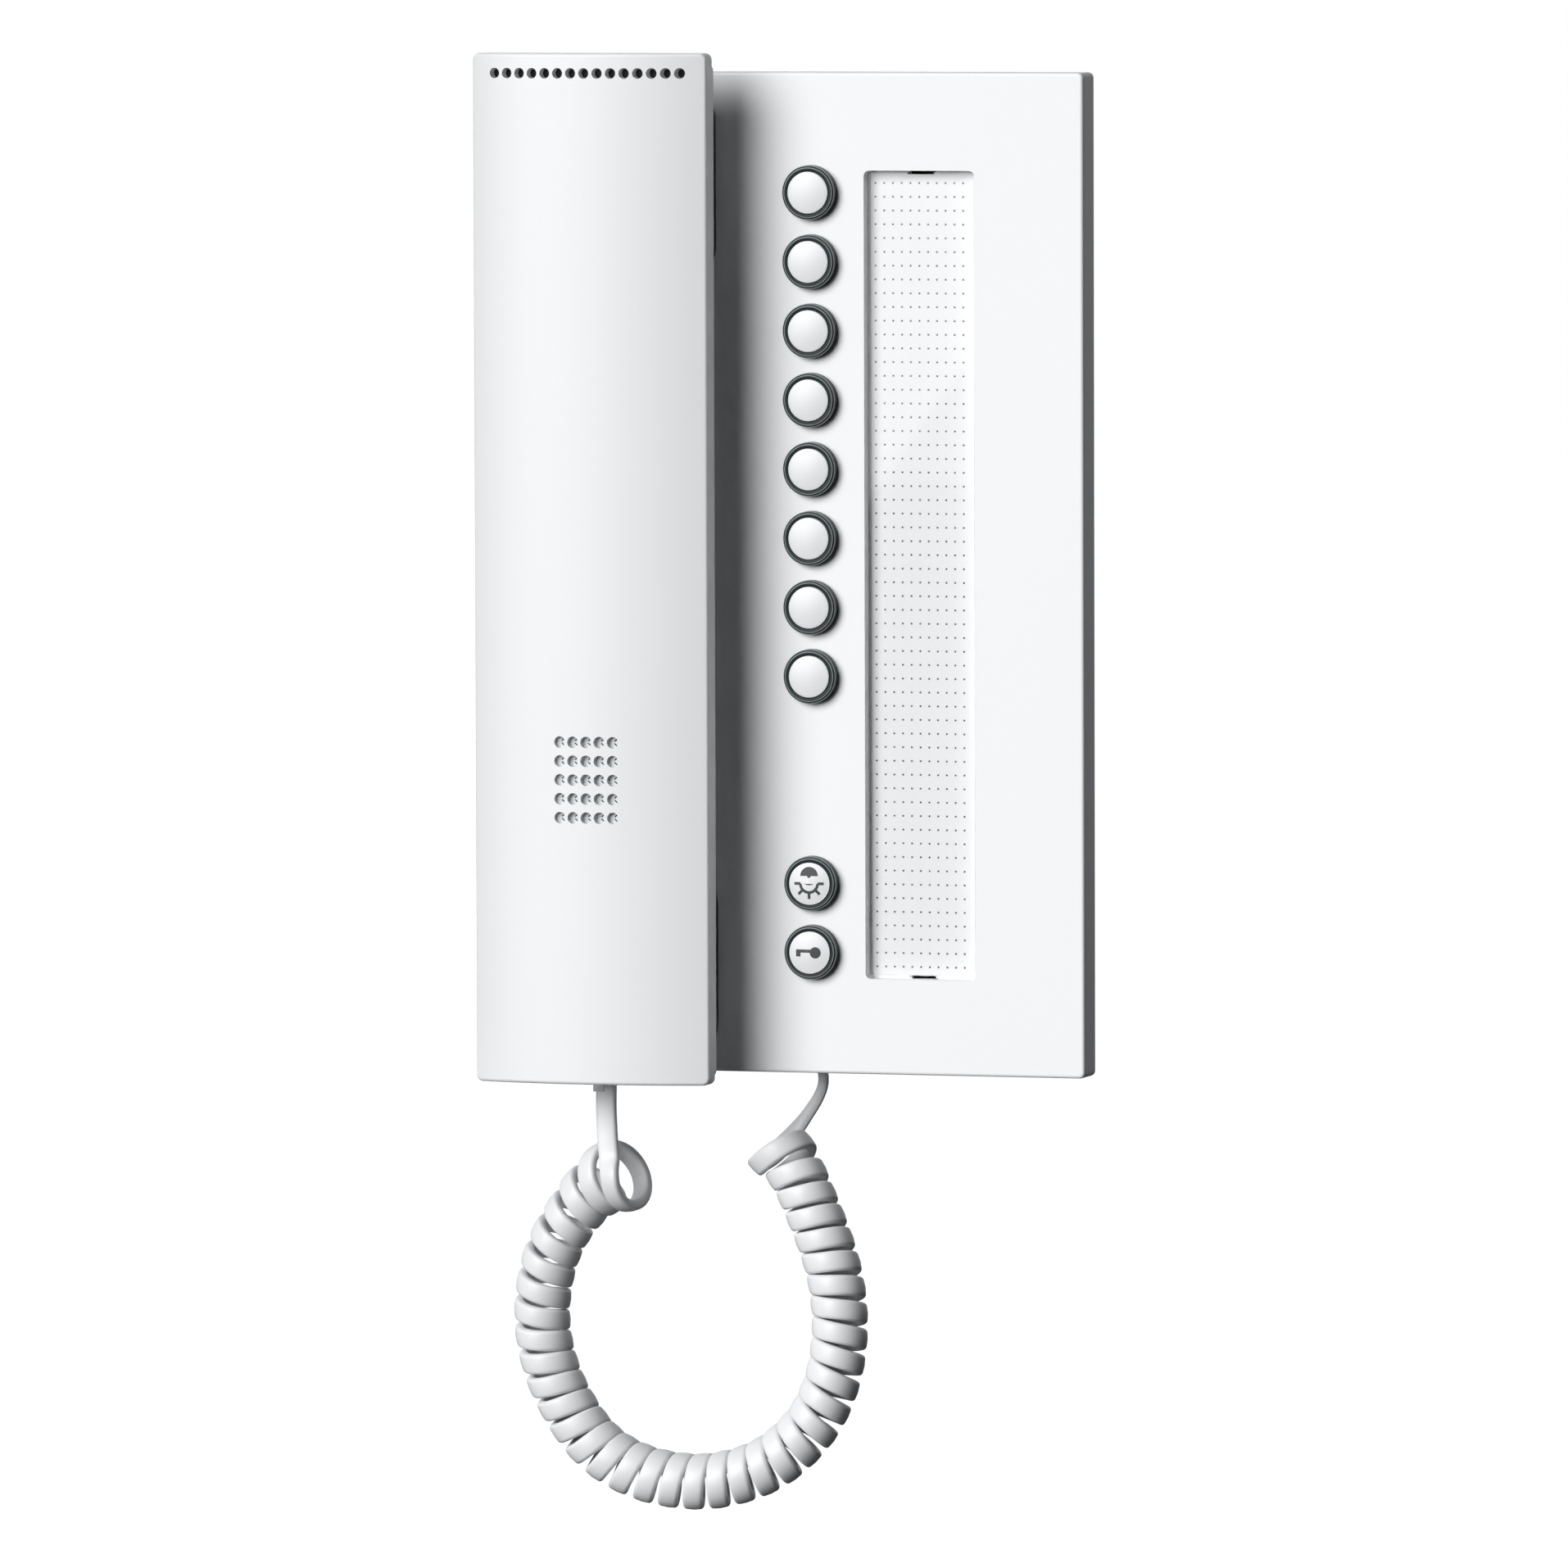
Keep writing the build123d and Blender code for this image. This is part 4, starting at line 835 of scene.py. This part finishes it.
print("printing the dots")
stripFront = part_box("name_strip")[0].y
dotGrid = gridValues(dotSettings, stripFront)
dotPrint = repeated("dotPrint", dotMesh(dotSettings), dotGrid, "printDark", False)
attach(dotPrint, "base")


# floors of the grille holes, each with two slanting slots
grilleSettings = {
    "columns": 5,
    "rows": 5,
    "columnPitch": 3.0 * mm,
    "rowPitch": 4.1 * mm,
    "middleX": -39.5 * mm,
    "middleZ": -44.2 * mm,
    "discRadius": 1.25,  # mm, and so are the thickness and the slot's corners
    "discSides": 28,
    "discTop": -46.1 * mm,
    "thickness": 0.5,
    "slot": [(0.02, 0.30), (0.18, 0.10), (0.78, 0.66), (0.62, 0.86)],
}


def slottedDisc(settings):
    radius, sides = settings["discRadius"], settings["discSides"]
    angles = [2 * math.pi * step / sides for step in range(sides)]
    outline = [(radius * math.cos(angle), radius * math.sin(angle)) for angle in angles]
    upper = settings["slot"]
    lower = [(x, -z) for x, z in upper]
    bm = bmesh.new()
    edges = []
    for loop in [outline, upper, lower]:
        ring = [bm.verts.new((x * mm, 0, z * mm)) for x, z in loop]
        edges += [bm.edges.new((a, b)) for a, b in zip(ring, ring[1:] + ring[:1])]
    bmesh.ops.triangle_fill(bm, edges=edges, use_beauty=True, use_dissolve=False)
    made = bmesh.ops.extrude_face_region(bm, geom=bm.faces[:])
    moved = [item for item in made["geom"] if isinstance(item, bmesh.types.BMVert)]
    bmesh.ops.translate(bm, verts=moved, vec=(0, settings["thickness"] * mm, 0))
    bmesh.ops.recalc_face_normals(bm, faces=bm.faces)
    # the extrusion leaves the faces in a chance order, so they are put in one order
    bm.verts.index_update()
    count = len(bm.verts)
    bm.faces.sort(key=lambda face: face.verts[0].index * count + face.verts[1].index)
    return meshOf("slottedDisc", bm)


print("setting the grille floors")
grilleGrid = gridValues(grilleSettings, grilleSettings["discTop"])
grilleDisc = slottedDisc(grilleSettings)
grilleFloors = repeated("grilleFloors", grilleDisc, grilleGrid, "innerGrey", False)
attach(grilleFloors, "handset")


# dark felt behind the handset's two groups of holes, bent to the inside of its crown
feltSettings = {
    "crownRadius": 72.3 * mm,
    "crownInside": -45.0 * mm,
    "middleX": -39.5 * mm,
    "gap": 0.08 * mm,
    "thickness": 0.6 * mm,
    "columns": 24,
    "patches": {  # middle height, half width, half height
        "earFelt": (107.25 * mm, 23.2 * mm, 2.25 * mm),
        "grilleFelt": (-44.2 * mm, 9.0 * mm, 11.5 * mm),
    },
}


def bentPatch(name, height, halfWidth, halfHeight, settings):
    radius = settings["crownRadius"]
    rows = []
    for back in (settings["gap"], settings["gap"] + settings["thickness"]):
        for z in (height - halfHeight, height + halfHeight):
            row = []
            for step in range(settings["columns"] + 1):
                across = (2 * step / settings["columns"] - 1) * halfWidth
                sink = radius - math.sqrt(radius * radius - across * across)
                y = settings["crownInside"] + sink + back
                row.append((settings["middleX"] + across, y, z))
            rows.append(row)
    width = settings["columns"] + 1
    points = [point for row in rows for point in row]
    faces = []
    for first, second in ((0, 1), (1, 3), (3, 2), (2, 0)):
        for step in range(width - 1):
            a, b = first * width + step, second * width + step
            faces.append((a, a + 1, b + 1, b))
    faces.append((0, width, 3 * width, 2 * width))
    faces.append((width - 1, 3 * width - 1, 4 * width - 1, 2 * width - 1))
    mesh = meshFrom(name, points, faces, False)
    faceOutwards(mesh)
    return newObject(name, mesh)


print("laying the felts")
for name, patch in feltSettings["patches"].items():
    felt = bentPatch(name, *patch, feltSettings)
    felt.data.materials.append(materials["softRubber"])
    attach(felt, "handset")


# the clear latch that shows under the handset, in front of the cord
latchSettings = {
    "low": (-42.2 * mm, -34.5 * mm, -112.9 * mm),
    "high": (-39.9 * mm, -33.6 * mm, -109.9 * mm),
    "edge": 0.12 * mm,
    "edgeSteps": 3,
    "edgeRoundness": 0.5,
    "rib": 0.25 * mm,
}


def makeLatch(settings):
    low, high = Vector(settings["low"]), Vector(settings["high"])
    edge = settings["edge"]
    bm = bmesh.new()
    bmesh.ops.create_cube(bm, size=1.0)
    for vert in bm.verts:
        vert.co = Vector([low[i] if vert.co[i] < 0 else high[i] for i in range(3)])
    bmesh.ops.bevel(
        bm, geom=bm.edges[:], offset=edge, segments=settings["edgeSteps"],
        profile=settings["edgeRoundness"], affect="EDGES",
    )
    for vert in bm.verts:
        if vert.co.y < low.y + edge and vert.co.z < low.z + 2 * edge:
            vert.co.y -= settings["rib"]
    mesh = meshOf("plugLatch", bm)
    smoothFaces(mesh)
    return newObject("plugLatch", mesh)


print("shaping the plug's latch")
plugLatch = makeLatch(latchSettings)
plugLatch.data.materials.append(materials["plugClear"])
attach(plugLatch, "handset")


# studio: pale floor, white backdrop, one soft key light, a dim room, a flag and a card
studioSettings = {
    "floorZ": -0.34,
    "floorSize": 16.0,
    "keyAzimuth": -24.6,  # degrees, to the left of the viewer
    "keyElevation": 20.0,
    "keyStrength": 3.59,
    "keyAngle": 42.0,
    "ambient": (0.024, 0.0255, 0.0275),
    # spans are of a ray's way: X runs to the right and Y away from the viewer
    "ambientSpan": (-0.5, 0.5),  # of Y
    "ambientStrengths": (0.3, 2.2),  # behind the viewer and behind the object
    "wallSpan": (0.75, 0.98),  # of Y, straight behind the object, to light its back
    "wallStrengths": (0.0, 50.0),
    "backdrop": 1.0,
    "frontSpan": (-0.65, -0.2),  # of X
    "frontStrengths": (0.05, 1.2),  # of the room behind the viewer, in reflections
    "turnSpan": (-0.3, 0.3),  # of Y, from that room to the backdrop
    "floorGlow": 1.0,
    "floorValues": {
        "Base Color": (0.12, 0.12, 0.12, 1),
        "Roughness": 0.9,
        "Specular IOR Level": 0.0,
        "Emission Color": (1, 1, 1, 1),
    },
    # a black flag close to the left of the handset, which shades its left edge
    "flag": ((-0.30, -0.115, -0.08), (-0.124, -0.115, 0.26)),  # low and high corners
    "flagValues": {"Base Color": (0, 0, 0, 1), "Specular IOR Level": 0.0},
    # a bright card to the left of the viewer, seen only in glossy faces
    "card": [
        (-0.538, -2.0, -0.024), (-0.574, -2.0, -0.073), (-1.30, -2.0, -1.061),
        (-1.90, -2.0, -0.60), (-1.90, -2.0, 1.60), (0.655, -2.0, 1.60),
    ],
    "cardValues": {
        "Base Color": (0, 0, 0, 1),
        "Emission Color": (1, 1, 1, 1),
        "Emission Strength": 2.4,
    },
}


def makeWorld(settings):
    world = bpy.data.worlds.new("studio")
    scene.world = world
    world.use_nodes = True
    tree = world.node_tree
    tree.nodes.clear()
    dim = tree.nodes.new("ShaderNodeBackground")
    dim.inputs["Color"].default_value = (*settings["ambient"], 1)
    bright = tree.nodes.new("ShaderNodeBackground")
    bright.inputs["Strength"].default_value = settings["backdrop"]
    bright.inputs["Color"].default_value = (1, 1, 1, 1)
    path = tree.nodes.new("ShaderNodeLightPath").outputs
    place = tree.nodes.new("ShaderNodeTexCoord")
    split = tree.nodes.new("ShaderNodeSeparateXYZ")
    tree.links.new(place.outputs["Generated"], split.inputs[0])
    x, y = split.outputs[0], split.outputs[1]
    front = rangeNode(tree, x, settings["frontSpan"], settings["frontStrengths"])
    shade = rangeNode(tree, y, settings["turnSpan"], (front, 1.0))
    ambient = rangeNode(tree, y, settings["ambientSpan"], settings["ambientStrengths"])
    wall = rangeNode(tree, y, settings["wallSpan"], settings["wallStrengths"])
    tree.links.new(mathNode(tree, "ADD", ambient, wall), dim.inputs["Strength"])
    mirrored = mathNode(tree, "MAXIMUM", path["Is Glossy Ray"], path["Is Transmission Ray"])
    direct = mathNode(tree, "LESS_THAN", path["Diffuse Depth"], 0.5)
    mirrored = mathNode(tree, "MULTIPLY", mirrored, direct)
    mirrored = mathNode(tree, "MULTIPLY", mirrored, shade)
    seen = mathNode(tree, "MAXIMUM", path["Is Camera Ray"], mirrored)
    output = tree.nodes.new("ShaderNodeOutputWorld")
    mixed = mixShaders(tree, seen, dim.outputs[0], bright.outputs[0])
    tree.links.new(mixed, output.inputs[0])


def makeKeyLight(settings):
    lamp = bpy.data.lights.new("keyLight", "SUN")
    lamp.energy = settings["keyStrength"]
    lamp.angle = math.radians(settings["keyAngle"])
    key = newObject("keyLight", lamp)
    azimuth = math.radians(settings["keyAzimuth"])
    elevation = math.radians(settings["keyElevation"])
    towards = Vector((
        math.sin(azimuth) * math.cos(elevation),
        -math.cos(azimuth) * math.cos(elevation),
        math.sin(elevation),
    ))
    key.matrix_world = towards.to_track_quat("Z", "Y").to_matrix().to_4x4()


def makeStagePiece(name, corners, finish, values):
    piece = newObject(name, meshFrom(name, corners, [tuple(range(len(corners)))], False))
    material = bpy.data.materials.new(finish)
    material.use_nodes = True
    shader = material.node_tree.nodes["Principled BSDF"]
    for label, value in values.items():
        shader.inputs[label].default_value = value
    piece.data.materials.append(material)
    return piece


def makeFloor(settings):
    half, z = settings["floorSize"] / 2, settings["floorZ"]
    corners = [(-half, -half, z), (half, -half, z), (half, half, z), (-half, half, z)]
    floor = makeStagePiece("floor", corners, "floorPale", settings["floorValues"])
    tree = floor.data.materials[0].node_tree
    path = tree.nodes.new("ShaderNodeLightPath").outputs
    seen = mathNode(tree, "MAXIMUM", path["Is Camera Ray"], path["Is Transmission Ray"])
    glow = mathNode(tree, "MULTIPLY", seen, settings["floorGlow"])
    tree.links.new(glow, tree.nodes["Principled BSDF"].inputs["Emission Strength"])


def makeFlagAndCard(settings):
    low, high = [Vector(corner) for corner in settings["flag"]]
    corners = [low, (high.x, low.y, low.z), high, (low.x, low.y, high.z)]
    flag = makeStagePiece("flag", corners, "flagBlack", settings["flagValues"])
    flag.visible_camera = False
    flag.visible_transmission = False
    card = makeStagePiece("card", settings["card"], "cardLight", settings["cardValues"])
    card.visible_camera = False
    card.visible_diffuse = False
    card.visible_transmission = False
    card.visible_shadow = False


print("lighting the studio")
makeWorld(studioSettings)
makeKeyLight(studioSettings)
makeFloor(studioSettings)
makeFlagAndCard(studioSettings)
scene.view_settings.view_transform = "Standard"

print("finishing")
